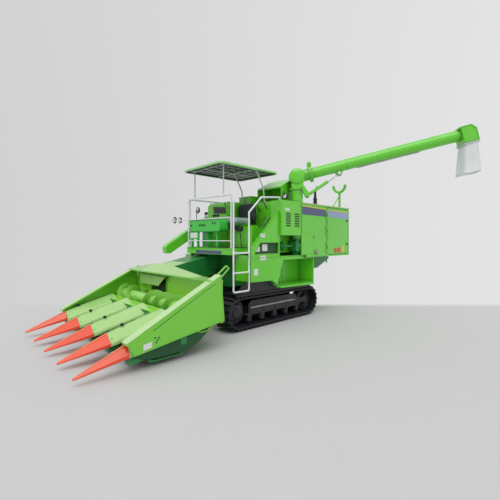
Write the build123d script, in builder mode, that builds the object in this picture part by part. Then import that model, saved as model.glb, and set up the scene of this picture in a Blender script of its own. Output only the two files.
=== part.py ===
"""Tracked combine harvester with a four-row maize header, in millimetres.

The origin is on the ground, on the centreline, midway along the tracks.
+X is the machine's left, -Y its front, +Z up.
"""
from build123d import *
import os
from math import cos, sin, radians, degrees, pi

os.makedirs("parts", exist_ok=True)

# Tracks
TRACK_X = 675             # middle of each track
TRACK_W = 450
SPROCKET_Y = -905
IDLER_Y = 1000
BELT_R = 262              # outside of the rubber, under its lugs
BELT_T = 30
LUG_H = 43
AXLE_Z = BELT_R + LUG_H   # sprocket and idler
INNER_R = BELT_R - BELT_T - 0.5
LUG_W = 40
LUG_COUNT = 60
ROLLER_R = 65
ROLLER_Z = AXLE_Z - INNER_R + ROLLER_R
ROLLER_YS = (-600, -270, 60, 390, 720)
CARRIER_YS = (-300, 350)
WHEEL_W = 120
BEAM_HALF = 75            # the track frame's main beam
BEAM_Y = (SPROCKET_Y + INNER_R + 13.5, IDLER_Y - INNER_R - 28.5)
BEAM_Z = (AXLE_Z - 55, AXLE_Z + 75)

# Chassis: two rails between the tracks, under the housing
TRACK_GAP = 20
RAIL_X = (TRACK_X - TRACK_W / 2 - TRACK_GAP - 60, TRACK_X - TRACK_W / 2 - TRACK_GAP)
HOUSING_LOW = AXLE_Z + BELT_R + LUG_H + 30
RAIL_Z = (HOUSING_LOW - 160, HOUSING_LOW - 40)
RAIL_Y = (-980, 1260)
TRANSMISSION_X = RAIL_X[0] - 130
CROSS_AXLE_Z = AXLE_Z + 10
TOW_Y = 1320
TOW_Z = 420
TOW_BORE = 32

# Threshing housing and side shields
HOUSING_X = (-800, 600)
HOUSING_Y = (-500, 1500)
HOUSING_Z = (HOUSING_LOW, 1280)
SIDE_X = 1000             # outside of the lower shields
FLANK_X = 1050            # outside of the upper panels
SHIELD_FRONT = -770

# Operator's platform
DECK_X = 706
DECK_Y = (-920, -100)
DECK_Z = (1280, 1400)

# Grain tank, rear hood
TANK_X = (-1000, 790)
TANK_Y = (60, 690)
TANK_Z = (1300, 2290)
TANK_COVER_X = -300       # the tank is open from here to its right wall
WALL = 25
HOOD_Y = (700, 2310)
HOOD_Z = (1200, 2280)
DOOR_FRONT = 1417
DOOR_HINGE = (1060, 1405)

# Canopy
CANOPY_X = (-640, 560)
CANOPY_Y = (-1070, 440)
CANOPY_TOP = 2960
CANOPY_STAYS = (-120, 505)       # x of the curved stays that stand on the tank

# Unloading auger
TOWER = (930, 555)        # middle of the upright tube
TOWER_D = 230
BOOM_D = 210
ELBOW_Z = 2780
BOOM_HEADING = 37.8       # from +X towards +Y, as it stands
BOOM_RISE = 13.0
BOOM_LENGTH = 3080
BARREL_PIN = (200, 2420)  # out along the boom's heading, and height
ROD_PIN = (800, -140)     # along the boom from the elbow, and below its axis
BOOM_PIN_D = 24
BOOM_PIN_PLAY = 10.5      # the eye wanders this much in its lugs over the boom's travel
CRADLE_Y = 2110

# Header
FEEDER_X = (-750, -180)
PIVOT_Y = -700
PIVOT_Z = 1070
DRUM_R = 180
HEADER_X = 1360           # outside of the end plates
HEADER_BACK = -1670
ROW_PITCH = 617
DIVIDER_XS = (-2 * ROW_PITCH, -ROW_PITCH, 0, ROW_PITCH, 2 * ROW_PITCH)
ROW_XS = (-1.5 * ROW_PITCH, -0.5 * ROW_PITCH, 0.5 * ROW_PITCH, 1.5 * ROW_PITCH)
TIP = (-3582, 97)         # y and z of a snout's tip
RIDGE_FRONT = (-3004, 339)
RIDGE_REAR = (-2318, 522)
AUGER_Y = -1970
AUGER_Z = 530
AUGER_R = 192
HEADER_PIN_LOW = (-700, 540)     # y and z of the lift cylinder's pin on the chassis
HEADER_PIN_HIGH = (-1330, 520)   # and of its rod's pin under the feeder
HEADER_PIN_D = 30
HEADER_PIN_PLAY = 4.5
LIFT_X = 60 - RAIL_X[0]


def block(x, y, z):
    """A box from three (low, high) pairs."""
    middle = ((x[0] + x[1]) / 2, (y[0] + y[1]) / 2, (z[0] + z[1]) / 2)
    with Locations(middle):
        Box(x[1] - x[0], y[1] - y[0], z[1] - z[0])


def cut_block(x, y, z):
    middle = ((x[0] + x[1]) / 2, (y[0] + y[1]) / 2, (z[0] + z[1]) / 2)
    with Locations(middle):
        Box(x[1] - x[0], y[1] - y[0], z[1] - z[0], mode=Mode.SUBTRACT)


def profile(plane, points, depth, mode=Mode.ADD):
    """A closed outline of straight edges, extruded along its plane's normal."""
    with BuildSketch(plane) as outline:
        with BuildLine():
            Polyline(*points, close=True)
        make_face()
    extrude(to_extrude=outline.sketch, amount=depth, mode=mode)


def across(x0, x1, points, mode=Mode.ADD):
    """An outline of (y, z) points, from x0 to x1."""
    profile(Plane.YZ.offset(x0), points, x1 - x0, mode)


def along(y0, y1, points, mode=Mode.ADD):
    """An outline of (x, z) points, from y0 to y1."""
    profile(Plane.XZ.offset(-y0), points, y0 - y1, mode)


def bar(start, end, diameter, mode=Mode.ADD):
    """A round bar between two points."""
    start = Vector(*start)
    run = Vector(*end) - start
    with BuildSketch(Plane(origin=start, z_dir=run)) as ring:
        Circle(diameter / 2)
    extrude(to_extrude=ring.sketch, amount=run.length, mode=mode)


def tube(points, radius, diameter):
    """A round tube along straight runs joined by arcs."""
    with BuildLine() as route:
        FilletPolyline(*points, radius=radius)
    with BuildSketch(route.line ^ 0) as ring:
        Circle(diameter / 2)
    sweep(sections=ring.sketch, path=route.line)


def cut_by(node):
    """Cut the piece being made where another one already is."""
    add(node.part, mode=Mode.SUBTRACT)


def hand_in(node, name):
    """Give the finished piece its name and write it."""
    node.part.label = name
    export_step(node.part, f"parts/{name}.step")


def boom_point(out, rise):
    """The machine point that lies out along the boom's heading, at a height."""
    heading = radians(BOOM_HEADING)
    return (TOWER[0] + out * cos(heading), TOWER[1] + out * sin(heading), rise)


def on_boom(length, below=0.0):
    """The machine point that lies along the boom's axis, and below it."""
    rise = radians(BOOM_RISE)
    out = length * cos(rise) + below * sin(rise)
    return boom_point(out, ELBOW_Z + length * sin(rise) - below * cos(rise))


BOOM_ALONG = Vector(*on_boom(1)) - Vector(*on_boom(0))
BOOM_ACROSS = Vector(-sin(radians(BOOM_HEADING)), cos(radians(BOOM_HEADING)), 0)


# Tracks: a rubber belt with its lugs, as one outline
def lug_places():
    """Centre and turn of each lug, evenly spaced round the loop."""
    run = IDLER_Y - SPROCKET_Y
    arc = pi * BELT_R
    loop = 2 * run + 2 * arc
    reach = BELT_R + LUG_H / 2 - 2
    for i in range(LUG_COUNT):
        s = (i + 0.5) * loop / LUG_COUNT
        if s < run:
            yield Location((SPROCKET_Y + s, AXLE_Z - reach), 0)
        elif s < run + arc:
            turn = (s - run) / BELT_R - pi / 2
            yield Location((IDLER_Y + reach * cos(turn), AXLE_Z + reach * sin(turn)), degrees(turn) + 90)
        elif s < 2 * run + arc:
            yield Location((IDLER_Y - (s - run - arc), AXLE_Z + reach), 180)
        else:
            turn = (s - 2 * run - arc) / BELT_R + pi / 2
            yield Location((SPROCKET_Y + reach * cos(turn), AXLE_Z + reach * sin(turn)), degrees(turn) + 90)


LOOP_MIDDLE = (SPROCKET_Y + IDLER_Y) / 2
LOOP_RUN = IDLER_Y - SPROCKET_Y

for side, name in ((1, "track_left"), (-1, "track_right")):
    with BuildPart() as track:
        with BuildSketch(Plane.YZ.offset(side * TRACK_X - TRACK_W / 2)):
            with Locations((LOOP_MIDDLE, AXLE_Z)):
                SlotCenterToCenter(LOOP_RUN, 2 * BELT_R)
                SlotCenterToCenter(LOOP_RUN, 2 * (BELT_R - BELT_T), mode=Mode.SUBTRACT)
            with Locations(*lug_places()):
                Trapezoid(LUG_W, LUG_H + 4, 100, align=Align.CENTER, rotation=180)
        extrude(amount=TRACK_W)
    hand_in(track, name)

with BuildPart() as track_wheels:
    for side in (1, -1):
        middle = (side * TRACK_X, IDLER_Y, AXLE_Z)
        with Locations(Location(middle, (0, 90, 0))):
            Cylinder(INNER_R, WHEEL_W)
            Cylinder(60, WHEEL_W + 60)
        for face in (1, -1):
            with Locations(Location((side * TRACK_X + face * WHEEL_W / 2, IDLER_Y, AXLE_Z), (0, 90, 0))):
                Cylinder(190, 60, mode=Mode.SUBTRACT)
                Cylinder(60, 60)
    for side in (1, -1):
        for y in ROLLER_YS:
            bar((side * TRACK_X - 100, y, ROLLER_Z), (side * TRACK_X + 100, y, ROLLER_Z), 2 * ROLLER_R)
        for y in CARRIER_YS:
            z = AXLE_Z + BELT_R - BELT_T - 45.5
            bar((side * TRACK_X - 60, y, z), (side * TRACK_X + 60, y, z), 90)
    for side in (1, -1):
        with BuildSketch(Plane.YZ.offset(side * TRACK_X - WHEEL_W / 2)):
            with Locations((SPROCKET_Y, AXLE_Z)):
                Circle(INNER_R)
                with PolarLocations(INNER_R + 8, 12):
                    Circle(26, mode=Mode.SUBTRACT)
                with PolarLocations(120, 6):
                    Circle(30, mode=Mode.SUBTRACT)
        extrude(amount=WHEEL_W)
        bar((side * (TRACK_X + 40), SPROCKET_Y, AXLE_Z), (side * (TRACK_X + 110), SPROCKET_Y, AXLE_Z), 130)
hand_in(track_wheels, "track_wheels")

with BuildPart() as track_frames:
    for side in (1, -1):
        x = side * TRACK_X
        block((x - BEAM_HALF, x + BEAM_HALF), BEAM_Y, BEAM_Z)
        for y in ROLLER_YS:
            for face in (-1, 1):
                across(x + face * 112 - 6, x + face * 112 + 6,
                       ((y - 55, BEAM_Z[0] + 20), (y + 55, BEAM_Z[0] + 20), (y + 30, ROLLER_Z - 30),
                        (y - 30, ROLLER_Z - 30)))
            block((x - 118, x + 118), (y - 50, y + 50), (BEAM_Z[0], BEAM_Z[0] + 20))
        for y in CARRIER_YS:
            block((x - 20, x + 20), (y - 30, y + 30), (BEAM_Z[1], AXLE_Z + BELT_R - BELT_T - 90.5))
        for face in (-1, 1):
            across(x + face * 98 - 8, x + face * 98 + 8,
                   ((BEAM_Y[1] - 40, BEAM_Z[0]), (BEAM_Y[1] - 40, BEAM_Z[1]), (IDLER_Y + 40, AXLE_Z + 35),
                    (IDLER_Y + 40, AXLE_Z - 35)))
        block((x - 106, x + 106), (BEAM_Y[1] - 40, BEAM_Y[1]), BEAM_Z)
hand_in(track_frames, "track_frames")

# Chassis between the tracks: two straight rails on cross axles, held together by cross members
with BuildPart() as chassis_rails:
    for side in (1, -1):
        block(sorted((side * RAIL_X[0], side * RAIL_X[1])), RAIL_Y, RAIL_Z)
hand_in(chassis_rails, "chassis_rails")

with BuildPart() as cross_members:
    for y in (-620, 250, 1200):
        block((-RAIL_X[0], RAIL_X[0]), (y - 40, y + 40), (RAIL_Z[0] + 10, RAIL_Z[1] - 30))
    block((-RAIL_X[0], RAIL_X[0]), (-120, -40), (RAIL_Z[1] - 60, RAIL_Z[1] - 20))
    block((-RAIL_X[0], RAIL_X[0]), (900, 980), (RAIL_Z[0] + 10, RAIL_Z[1] - 30))
    for side in (1, -1):
        post = sorted((side * (RAIL_X[0] - 80), side * RAIL_X[0]))
        block(post, (-120, -40), (RAIL_Z[1] - 60, HOUSING_Z[0]))
        block(post, (900, 980), (RAIL_Z[0] + 10, HOUSING_Z[0]))
    for face in (-1, 1):
        x = LIFT_X + face * 42
        across(x - 8, x + 8, ((-620, 490), (-620, 600), (-690, 600), (-740, 570), (-740, 510), (-690, 490)))
    bar((LIFT_X - 60, *HEADER_PIN_LOW), (LIFT_X + 60, *HEADER_PIN_LOW), 30)
hand_in(cross_members, "cross_members")

with BuildPart() as cross_axles:
    for y in (-400, 560):
        bar((BEAM_HALF - TRACK_X, y, CROSS_AXLE_Z), (TRACK_X - BEAM_HALF, y, CROSS_AXLE_Z), 90)
        for side in (1, -1):
            block(sorted((side * RAIL_X[0], side * RAIL_X[1])), (y - 70, y + 70), (CROSS_AXLE_Z - 45, RAIL_Z[0]))
    block((-TRANSMISSION_X, TRANSMISSION_X), (-1000, -760), (AXLE_Z - 105, RAIL_Z[0]))
    for side in (1, -1):
        block(sorted((side * TRANSMISSION_X, side * RAIL_X[1])), (-960, -800), (RAIL_Z[0] - 80, RAIL_Z[0]))
        bar((side * TRANSMISSION_X, SPROCKET_Y, AXLE_Z), (side * (TRACK_X - WHEEL_W / 2), SPROCKET_Y, AXLE_Z), 150)
hand_in(cross_axles, "cross_axles")

with BuildPart() as tow_hitch:
    block((-70, 70), (1230, TOW_Y + 50), (TOW_Z + 30, TOW_Z + 50))
    block((-70, 70), (1230, TOW_Y + 50), (TOW_Z - 50, TOW_Z - 30))
    block((-70, 70), (1160, 1240), (TOW_Z - 50, RAIL_Z[0] + 10))
    with Locations((0, TOW_Y, TOW_Z)):
        Cylinder(TOW_BORE / 2, 120, mode=Mode.SUBTRACT)
hand_in(tow_hitch, "tow_hitch")


# Threshing housing: a closed body behind the feeder, cut away under the tail
with BuildPart() as threshing_housing:
    x0, x1 = HOUSING_X
    across(x0, x1, ((HOUSING_Y[0], HOUSING_Z[0]), (1100, HOUSING_Z[0]), (HOUSING_Y[1], 860),
                    (HOUSING_Y[1] + 260, HOOD_Z[0]), (HOUSING_Y[0], HOOD_Z[0])))
    across(x0, x1, ((HOUSING_Y[0], 1150), (HOUSING_Y[1], 1150), (HOUSING_Y[1], HOUSING_Z[1]),
                    (HOUSING_Y[0], HOUSING_Z[1])))
    cut_block((x0 - 10, x1 + 10), (HOOD_Y[0], 2400), (HOOD_Z[0], 1400))
    # Feeder pivot: two plates under the platform with a stub pin each
    for x0, x1 in ((FEEDER_X[0] - 35, FEEDER_X[0] - 15), (FEEDER_X[1] + 15, FEEDER_X[1] + 35)):
        across(x0, x1, ((PIVOT_Y - 90, DECK_Z[0]), (PIVOT_Y - 70, PIVOT_Z - 70), (PIVOT_Y + 70, PIVOT_Z - 90),
                        (HOUSING_Y[0], PIVOT_Z - 90), (HOUSING_Y[0], DECK_Z[0])))
    bar((FEEDER_X[0] - 35, PIVOT_Y, PIVOT_Z), (FEEDER_X[0] + 50, PIVOT_Y, PIVOT_Z), 60)
    bar((FEEDER_X[1] - 50, PIVOT_Y, PIVOT_Z), (FEEDER_X[1] + 35, PIVOT_Y, PIVOT_Z), 60)
hand_in(threshing_housing, "threshing_housing")

# Side shields below the platform and the tank
SHIELD = ((SHIELD_FRONT, HOUSING_LOW + 190), (-250, HOUSING_LOW + 180), (0, HOUSING_LOW + 20), (1010, HOUSING_LOW),
          (1010, HOOD_Z[0]), (695, HOOD_Z[0]), (695, 1250), (SHIELD_FRONT, 1250))
POCKET = ((70, 1180), (985, 1180), (985, HOUSING_LOW + 50), (-110, HOUSING_LOW + 50))
with BuildPart() as side_shield_left:
    across(HOUSING_X[1] + 5, SIDE_X, SHIELD)
    across(HOUSING_X[1] + 30, SIDE_X + 10, POCKET, mode=Mode.SUBTRACT)
    across(SIDE_X - 60, SIDE_X, ((SHIELD_FRONT, 1240), (-50, 1240), (-50, 2080), (-700, 1455),
                                 (SHIELD_FRONT, 1420)))
    across(SIDE_X - 40, SIDE_X + 10, ((-680, 1300), (-70, 1300), (-70, 1500), (-540, 1500)), mode=Mode.SUBTRACT)
    block((HOUSING_X[1] + 5, SIDE_X), (SHIELD_FRONT, SHIELD_FRONT + 25), (1240, DECK_Z[0]))
hand_in(side_shield_left, "side_shield_left")

with BuildPart() as side_shield_right:
    across(-SIDE_X, HOUSING_X[0], SHIELD)
    across(-SIDE_X - 10, -SIDE_X + 40, ((-600, 900), (-150, 900), (-150, 1180), (-600, 1180)), mode=Mode.SUBTRACT)
    across(-SIDE_X - 10, -SIDE_X + 40, ((50, 740), (940, 740), (940, 1180), (50, 1180)), mode=Mode.SUBTRACT)
    # Guard over the belt drive on this flank
    across(-SIDE_X - 45, -SIDE_X, ((-420, 1150), (700, 1150), (760, 1040), (700, 820), (-300, 900), (-480, 1010)))
hand_in(side_shield_right, "side_shield_right")

# Operator's platform
with BuildPart() as operator_deck:
    block((-DECK_X, DECK_X), DECK_Y, DECK_Z)
    cut_block((-DECK_X + 45, DECK_X - 45), (DECK_Y[0] + 45, HOUSING_Y[0]), (DECK_Z[0] - 10, DECK_Z[1] - 20))
    block((DECK_X, SIDE_X - 60), (-760, -60), (DECK_Z[1] - 60, DECK_Z[1] - 30))
hand_in(operator_deck, "operator_deck")

with BuildPart() as seat_box:
    block((25, DECK_X), (-480, 40), (DECK_Z[1], 1800))
    fillet(seat_box.edges().filter_by(Axis.Z).group_by(Axis.Y)[0], 30)
    block((90, 450), (-480, -80), (1800, 1835))
    block((110, 430), (-600, -480), (1815, 1835))
hand_in(seat_box, "seat_box")


with BuildPart() as seat_cushion:
    block((20, 520), (-700, -240), (1835, 1960))
    fillet(seat_cushion.edges().filter_by(Axis.X).group_by(Axis.Y)[0], 35)
    fillet(seat_cushion.edges().filter_by(Axis.Z), 60)
hand_in(seat_cushion, "seat_cushion")

with BuildPart() as seat_back:
    across(20, 520, ((-240, 1880), (-140, 1880), (-90, 2270), (-190, 2270)))
    block((230, 310), (-200, -100), (1835, 1900))
    fillet(seat_back.edges().filter_by(Axis.X).group_by(Axis.Z)[-1], 30)
hand_in(seat_back, "seat_back")

# The tall light box right of the seat
with BuildPart() as side_box:
    block((-640, 20), (-480, 55), (DECK_Z[1], 2300))
    fillet(side_box.edges().filter_by(Axis.Y).group_by(Axis.Z)[-1].group_by(Axis.X)[0], 90)
    chamfer(side_box.edges().filter_by(Axis.X).group_by(Axis.Z)[-1].group_by(Axis.Y)[0], 40)
hand_in(side_box, "side_box")

with BuildPart() as console:
    block((-385, 307), (-885, -700), (1700, 1940))
    fillet(console.edges().filter_by(Axis.Y), 70)
    block((-266, -103), (-860, -730), (DECK_Z[1], 1710))
    block((120, 160), (-830, -780), (DECK_Z[1], 1710))
    along(-885, -700, ((-660, 1800), (-600, 1720), (-385, 1720), (-385, 1945), (-660, 1945)))
    block((-690, -360), (-885, -868), (1560, 1705))
    block((-640, -600), (-868, -830), (DECK_Z[1], 1760))
    block((-440, -400), (-868, -830), (DECK_Z[1], 1730))
hand_in(console, "console")


# Levers: x, y, height of the knob
LEVERS = ((-330, -760, 2070), (-280, -760, 2070), (-60, -760, 2010), (10, -760, 2010), (80, -760, 2010))
with BuildPart() as control_levers:
    for x, y, top in LEVERS:
        bar((x, y, 1930), (x, y + 20, top), 12)
        with Locations((x, y + 20, top)):
            Sphere(19)
    cut_by(console)
    block((560, 600), (-640, -560), (DECK_Z[1], DECK_Z[1] + 12))
    bar((580, -600, DECK_Z[1] + 5), (580, -640, 1700), 16)
    block((540, 620), (-690, -600), (1700, 1790))
hand_in(control_levers, "control_levers")


# White rails and ladder
RAIL_D = 28
BRANCH_D = 24              # rails that end on another rail
LADDER_X = 980
LADDER_YS = (-1138, -795)
with BuildPart() as handrails:
    tube(((-DECK_X, 30, DECK_Z[1]), (-DECK_X, 30, 2360), (-DECK_X, -900, 2360), (640, -900, 2330),
          (LADDER_X, LADDER_YS[0], 2170)), 60, RAIL_D)
    bar((-DECK_X, -850, DECK_Z[1]), (-DECK_X, -850, 2360), BRANCH_D)
    for x in (-DECK_X + 20, 640):
        bar((x, -900, DECK_Z[1]), (x, -900, 2330), BRANCH_D)
    bar((-DECK_X + 8, -898, 1530), (650, -898, 1530), BRANCH_D - 4)
    bar((650, -896, 1940), (-1420, -896, 1950), BRANCH_D - 2)
    bar((-DECK_X, -896, 1950), (-DECK_X, 30, 1950), BRANCH_D - 4)
hand_in(handrails, "handrails")

with BuildPart() as ladder:
    tube(((LADDER_X, LADDER_YS[0], 2170), (LADDER_X, LADDER_YS[0], 696), (LADDER_X, LADDER_YS[1], 696),
          (LADDER_X, LADDER_YS[1], 2010), (LADDER_X, -500, 2290), (LADDER_X, -20, 2330)), 28, 30)
    bar((LADDER_X, LADDER_YS[0], 1008), (LADDER_X, LADDER_YS[1], 1008), RAIL_D)
    bar((LADDER_X, LADDER_YS[0], 1330), (LADDER_X, LADDER_YS[1], 1330), RAIL_D)
    bar((DECK_X, -890, 1330), (LADDER_X, -890, 1330), BRANCH_D)
    bar((LADDER_X, -20, 2335), (LADDER_X, -20, 2280), 30)
    cut_by(handrails)
hand_in(ladder, "ladder")

# Mirrors: middle and radius of each glass, all facing backwards
MIRRORS = ((-1330, -880, 1975, 70), (-1110, -880, 1962, 62))
with BuildPart() as mirrors:
    for x, y, z, r in MIRRORS:
        with Locations(Location((x, y + 45, z), (90, 0, 0))):
            Cylinder(r, 22)
        bar((x, -896, 1944), (x, y + 40, z), 14)
    with Locations(Location((-420, -860, 2130), (90, 0, 0))):
        Cylinder(60, 22)
    bar((-420, -868, 2130), (-420, -890, 2130), 14)
    bar((-420, -890, 2130), (-420, -890, 1946), 14)
    cut_by(handrails)
    cut_by(console)
hand_in(mirrors, "mirrors")

# Canopy: a shallow roof with a drooping rim, and its frame
with BuildPart() as canopy_roof:
    block(CANOPY_X, CANOPY_Y, (CANOPY_TOP - 90, CANOPY_TOP))
    fillet(canopy_roof.edges().filter_by(Axis.Z), 90)
    fillet(canopy_roof.edges().group_by(Axis.Z)[-1], 45)
    cut_block((CANOPY_X[0] + 22, CANOPY_X[1] - 22), (CANOPY_Y[0] + 22, CANOPY_Y[1] - 22),
              (CANOPY_TOP - 100, CANOPY_TOP - 50))
hand_in(canopy_roof, "canopy_roof")

with BuildPart() as canopy_frame:
    for x in (-460, 430):
        bar((x, -900, 2335), (x, -900, CANOPY_TOP - 50), BRANCH_D)
    for y in (-898, -200):
        bar((-600, y, 2896), (530, y, 2896), BRANCH_D - 4)
    for x in CANOPY_STAYS:
        tube(((x, -890, 2896), (x, -160, 2896), (x, 40, 2560), (x, TANK_Y[0] + 13, TANK_Z[1])), 120, RAIL_D - 2)
    cut_block(TANK_X, TANK_Y, TANK_Z)
    cut_by(handrails)
hand_in(canopy_frame, "canopy_frame")

# Grain tank: open at the top
with BuildPart() as grain_tank:
    block(TANK_X, TANK_Y, TANK_Z)
    cut_block((TANK_X[0] + WALL, TANK_X[1] - WALL), (TANK_Y[0] + WALL, TANK_Y[1] - WALL),
              (TANK_Z[0] + 60, TANK_Z[1] - 12))
    cut_block((TANK_X[0] + WALL, TANK_COVER_X), (TANK_Y[0] + WALL, TANK_Y[1] - WALL), (TANK_Z[1] - 20, 2400))
hand_in(grain_tank, "grain_tank")

with BuildPart() as tank_hood:
    across(100, 760, ((280, TANK_Z[1]), (280, 2600), (640, 2790), (688, 2770), (688, TANK_Z[1])))
    across(115, 745, ((270, TANK_Z[1] + 12), (270, 2560), (620, 2750), (670, 2740), (670, TANK_Z[1] + 12)),
           mode=Mode.SUBTRACT)
    block((-270, 90), (100, 420), (TANK_Z[1], 2440))
    block((-280, 100), (90, 430), (2432, 2450))
hand_in(tank_hood, "tank_hood")


# Louvred cooler housing and the open recess below it with the upright auger's gearbox
with BuildPart() as louvre_housing:
    block((TANK_X[1], FLANK_X), (-50, 530), (1630, 2280))
    cut_block((TANK_X[1] + WALL, FLANK_X - 20), (-30, 510), (1650, 2300))
    for y in (80, 335):
        for i in range(6):
            z = 1800 + 45 * i
            cut_block((FLANK_X - 30, FLANK_X + 10), (y, y + 140), (z, z + 20))
    with Locations((*TOWER, 2000)):
        Cylinder(TOWER_D / 2 + 8, 900, mode=Mode.SUBTRACT)
    block((TANK_X[1], FLANK_X), (-50, 400), (2262, 2280))
hand_in(louvre_housing, "louvre_housing")

with BuildPart() as tower_gearbox:
    block((TOWER[0] - 90, TOWER[0] + 80), (430, 640), (1320, 1540))
    fillet(tower_gearbox.edges().filter_by(Axis.X), 50)
    bar((TOWER[0] - 10, 440, 1430), (TOWER[0] - 10, 120, 1430), 50)
    bar((TOWER[0] - 10, 140, 1430), (TOWER[0] - 10, 100, 1430), 150)
    bar((TANK_X[1], 520, 1400), (TOWER[0] - 85, 520, 1400), 90)
    block((TOWER[0] - 60, TOWER[0] + 40), (480, 600), (1250, 1330))
hand_in(tower_gearbox, "tower_gearbox")

# Rear hood over the engine: an open-sided shell with the left door in its flank
with BuildPart() as rear_hood:
    block((-FLANK_X, FLANK_X), HOOD_Y, HOOD_Z)
    chamfer(rear_hood.edges().filter_by(Axis.Y).group_by(Axis.Z)[-1], 28)
    chamfer(rear_hood.edges().filter_by(Axis.X).group_by(Axis.Z)[-1].group_by(Axis.Y)[-1], 28)
    cut_block((-FLANK_X + WALL, FLANK_X - 30), (HOOD_Y[0] + WALL, HOOD_Y[1] - WALL), (HOOD_Z[0] + WALL, 2245))
    cut_block((FLANK_X - 60, FLANK_X + 20), (1400, 2297), (HOOD_Z[0] + 30, 2240))
    block((FLANK_X - 25, FLANK_X), (550, HOOD_Y[0] + 10), (1250, 2250))
    cut_block((-500, 500), (2200, 2400), (1240, 1620))
    for z in (1400, 1740, 2080):
        for low in (z - 85, z + 45):
            bar((*DOOR_HINGE, low), (*DOOR_HINGE, low + 40), 18)
            block((FLANK_X, FLANK_X + 12), (DOOR_HINGE[1] - 55, DOOR_HINGE[1]), (low, low + 40))
        bar((*DOOR_HINGE, z - 60), (*DOOR_HINGE, z + 60), 8)
hand_in(rear_hood, "rear_hood")

with BuildPart() as engine_door:
    block((FLANK_X - 28, FLANK_X), (DOOR_FRONT, 2290), (HOOD_Z[0] + 38, 2232))
    for z in (1400, 1740, 2080):
        bar((*DOOR_HINGE, z - 40), (*DOOR_HINGE, z + 40), 18)
        block((FLANK_X - 4, FLANK_X + 4), (DOOR_HINGE[1], DOOR_HINGE[1] + 60), (z - 40, z + 40))
        bar((*DOOR_HINGE, z - 50), (*DOOR_HINGE, z + 50), 8.1, mode=Mode.SUBTRACT)
hand_in(engine_door, "engine_door")


with BuildPart() as engine:
    block((-350, 450), (950, 1750), (HOOD_Z[0] + WALL, 2000))
hand_in(engine, "engine")

with BuildPart() as exhaust_pipe:
    tube(((300, 2050, 2278), (300, 2050, 2740), (300, 2120, 2840)), 50, 64)
    bar((300, 2050, 2280), (300, 2050, 2300), 110)
    bar((300, 2050, 2360), (300, 2050, 2560), 90)
    cut_by(rear_hood)
hand_in(exhaust_pipe, "exhaust_pipe")

# Straw tail: an open chute below the rear hood
with BuildPart() as straw_chute:
    across(-520, 520, ((1700, 1190), (2290, 1190), (2290, 1100), (1820, 900), (1560, 900)))
    across(-500, 500, ((1650, 1210), (2300, 1185), (2300, 1110), (1810, 920), (1540, 920)), mode=Mode.SUBTRACT)
    block((-520, 520), (1700, 2290), (1180, HOOD_Z[0]))
    block((-520, -500), (2200, 2230), (1000, 1180))
    block((500, 520), (2200, 2230), (1000, 1180))
    cut_by(threshing_housing)
hand_in(straw_chute, "straw_chute")

with BuildPart() as cooling_pulley:
    bar((HOUSING_X[1], 1250, 1010), (HOUSING_X[1] + 130, 1250, 1010), 60)
    bar((HOUSING_X[1] + 70, 1250, 1010), (HOUSING_X[1] + 110, 1250, 1010), 300)
    bar((HOUSING_X[1] + 110, 1250, 1010), (HOUSING_X[1] + 130, 1250, 1010), 220)
hand_in(cooling_pulley, "fan_pulley")

# Cradle that takes the folded boom
with BuildPart() as boom_cradle:
    with BuildSketch(Plane.XZ.offset(-CRADLE_Y + 20)):
        with Locations((TOWER[0], 2790)):
            Circle(170)
            Circle(132, mode=Mode.SUBTRACT)
            with Locations((0, 130)):
                Rectangle(400, 260, mode=Mode.SUBTRACT)
    extrude(amount=-40)
    bar((TOWER[0], CRADLE_Y, 2640), (TOWER[0], CRADLE_Y, HOOD_Z[1] - 2), 50)
    block((TOWER[0] - 70, TOWER[0] + 50), (CRADLE_Y - 60, CRADLE_Y + 60), (HOOD_Z[1], HOOD_Z[1] + 12))
    bar((TOWER[0], CRADLE_Y, 2560), (TOWER[0] - 20, CRADLE_Y - 260, HOOD_Z[1] - 2), 26)
    cut_by(rear_hood)
hand_in(boom_cradle, "boom_cradle")

# Upright auger tube, fixed to the housing up to its swivel flange
SWIVEL_Z = 2545
with BuildPart() as auger_tower:
    bar((*TOWER, 1540), (*TOWER, 2250), 180)
    bar((*TOWER, 2250), (*TOWER, SWIVEL_Z), TOWER_D)
    bar((*TOWER, SWIVEL_Z - 20), (*TOWER, SWIVEL_Z), 285)
hand_in(auger_tower, "auger_tower")

# Swivel: turns on the tower's flange and carries the boom's hinge
with BuildPart() as auger_swivel:
    bar((*TOWER, SWIVEL_Z + 0.5), (*TOWER, SWIVEL_Z + 20), 285)
    bar((*TOWER, SWIVEL_Z + 20), (*TOWER, 2640), TOWER_D)
    for side in (1, -1):
        origin = Vector(*boom_point(0, 0)) + BOOM_ACROSS * side * 128
        cheek = Plane(origin=origin, x_dir=Vector(*boom_point(1, 0)) - Vector(*boom_point(0, 0)),
                      z_dir=BOOM_ACROSS * -1)
        profile(cheek.offset(-6), ((-100, 2560), (90, 2560), (165, 2385), (235, 2385), (235, 2450), (130, 2600),
                                   (80, 2820), (-80, 2820)), 12)
    bar(Vector(*boom_point(0, 2590)) - BOOM_ACROSS * 134, Vector(*boom_point(0, 2590)) + BOOM_ACROSS * 134, 60)
    bar(Vector(*boom_point(*BARREL_PIN)) - BOOM_ACROSS * 134, Vector(*boom_point(*BARREL_PIN)) + BOOM_ACROSS * 134, 28)
    bar(Vector(*on_boom(0)) - BOOM_ACROSS * 160, Vector(*on_boom(0)) + BOOM_ACROSS * 160, 51, mode=Mode.SUBTRACT)
hand_in(auger_swivel, "auger_swivel")

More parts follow.
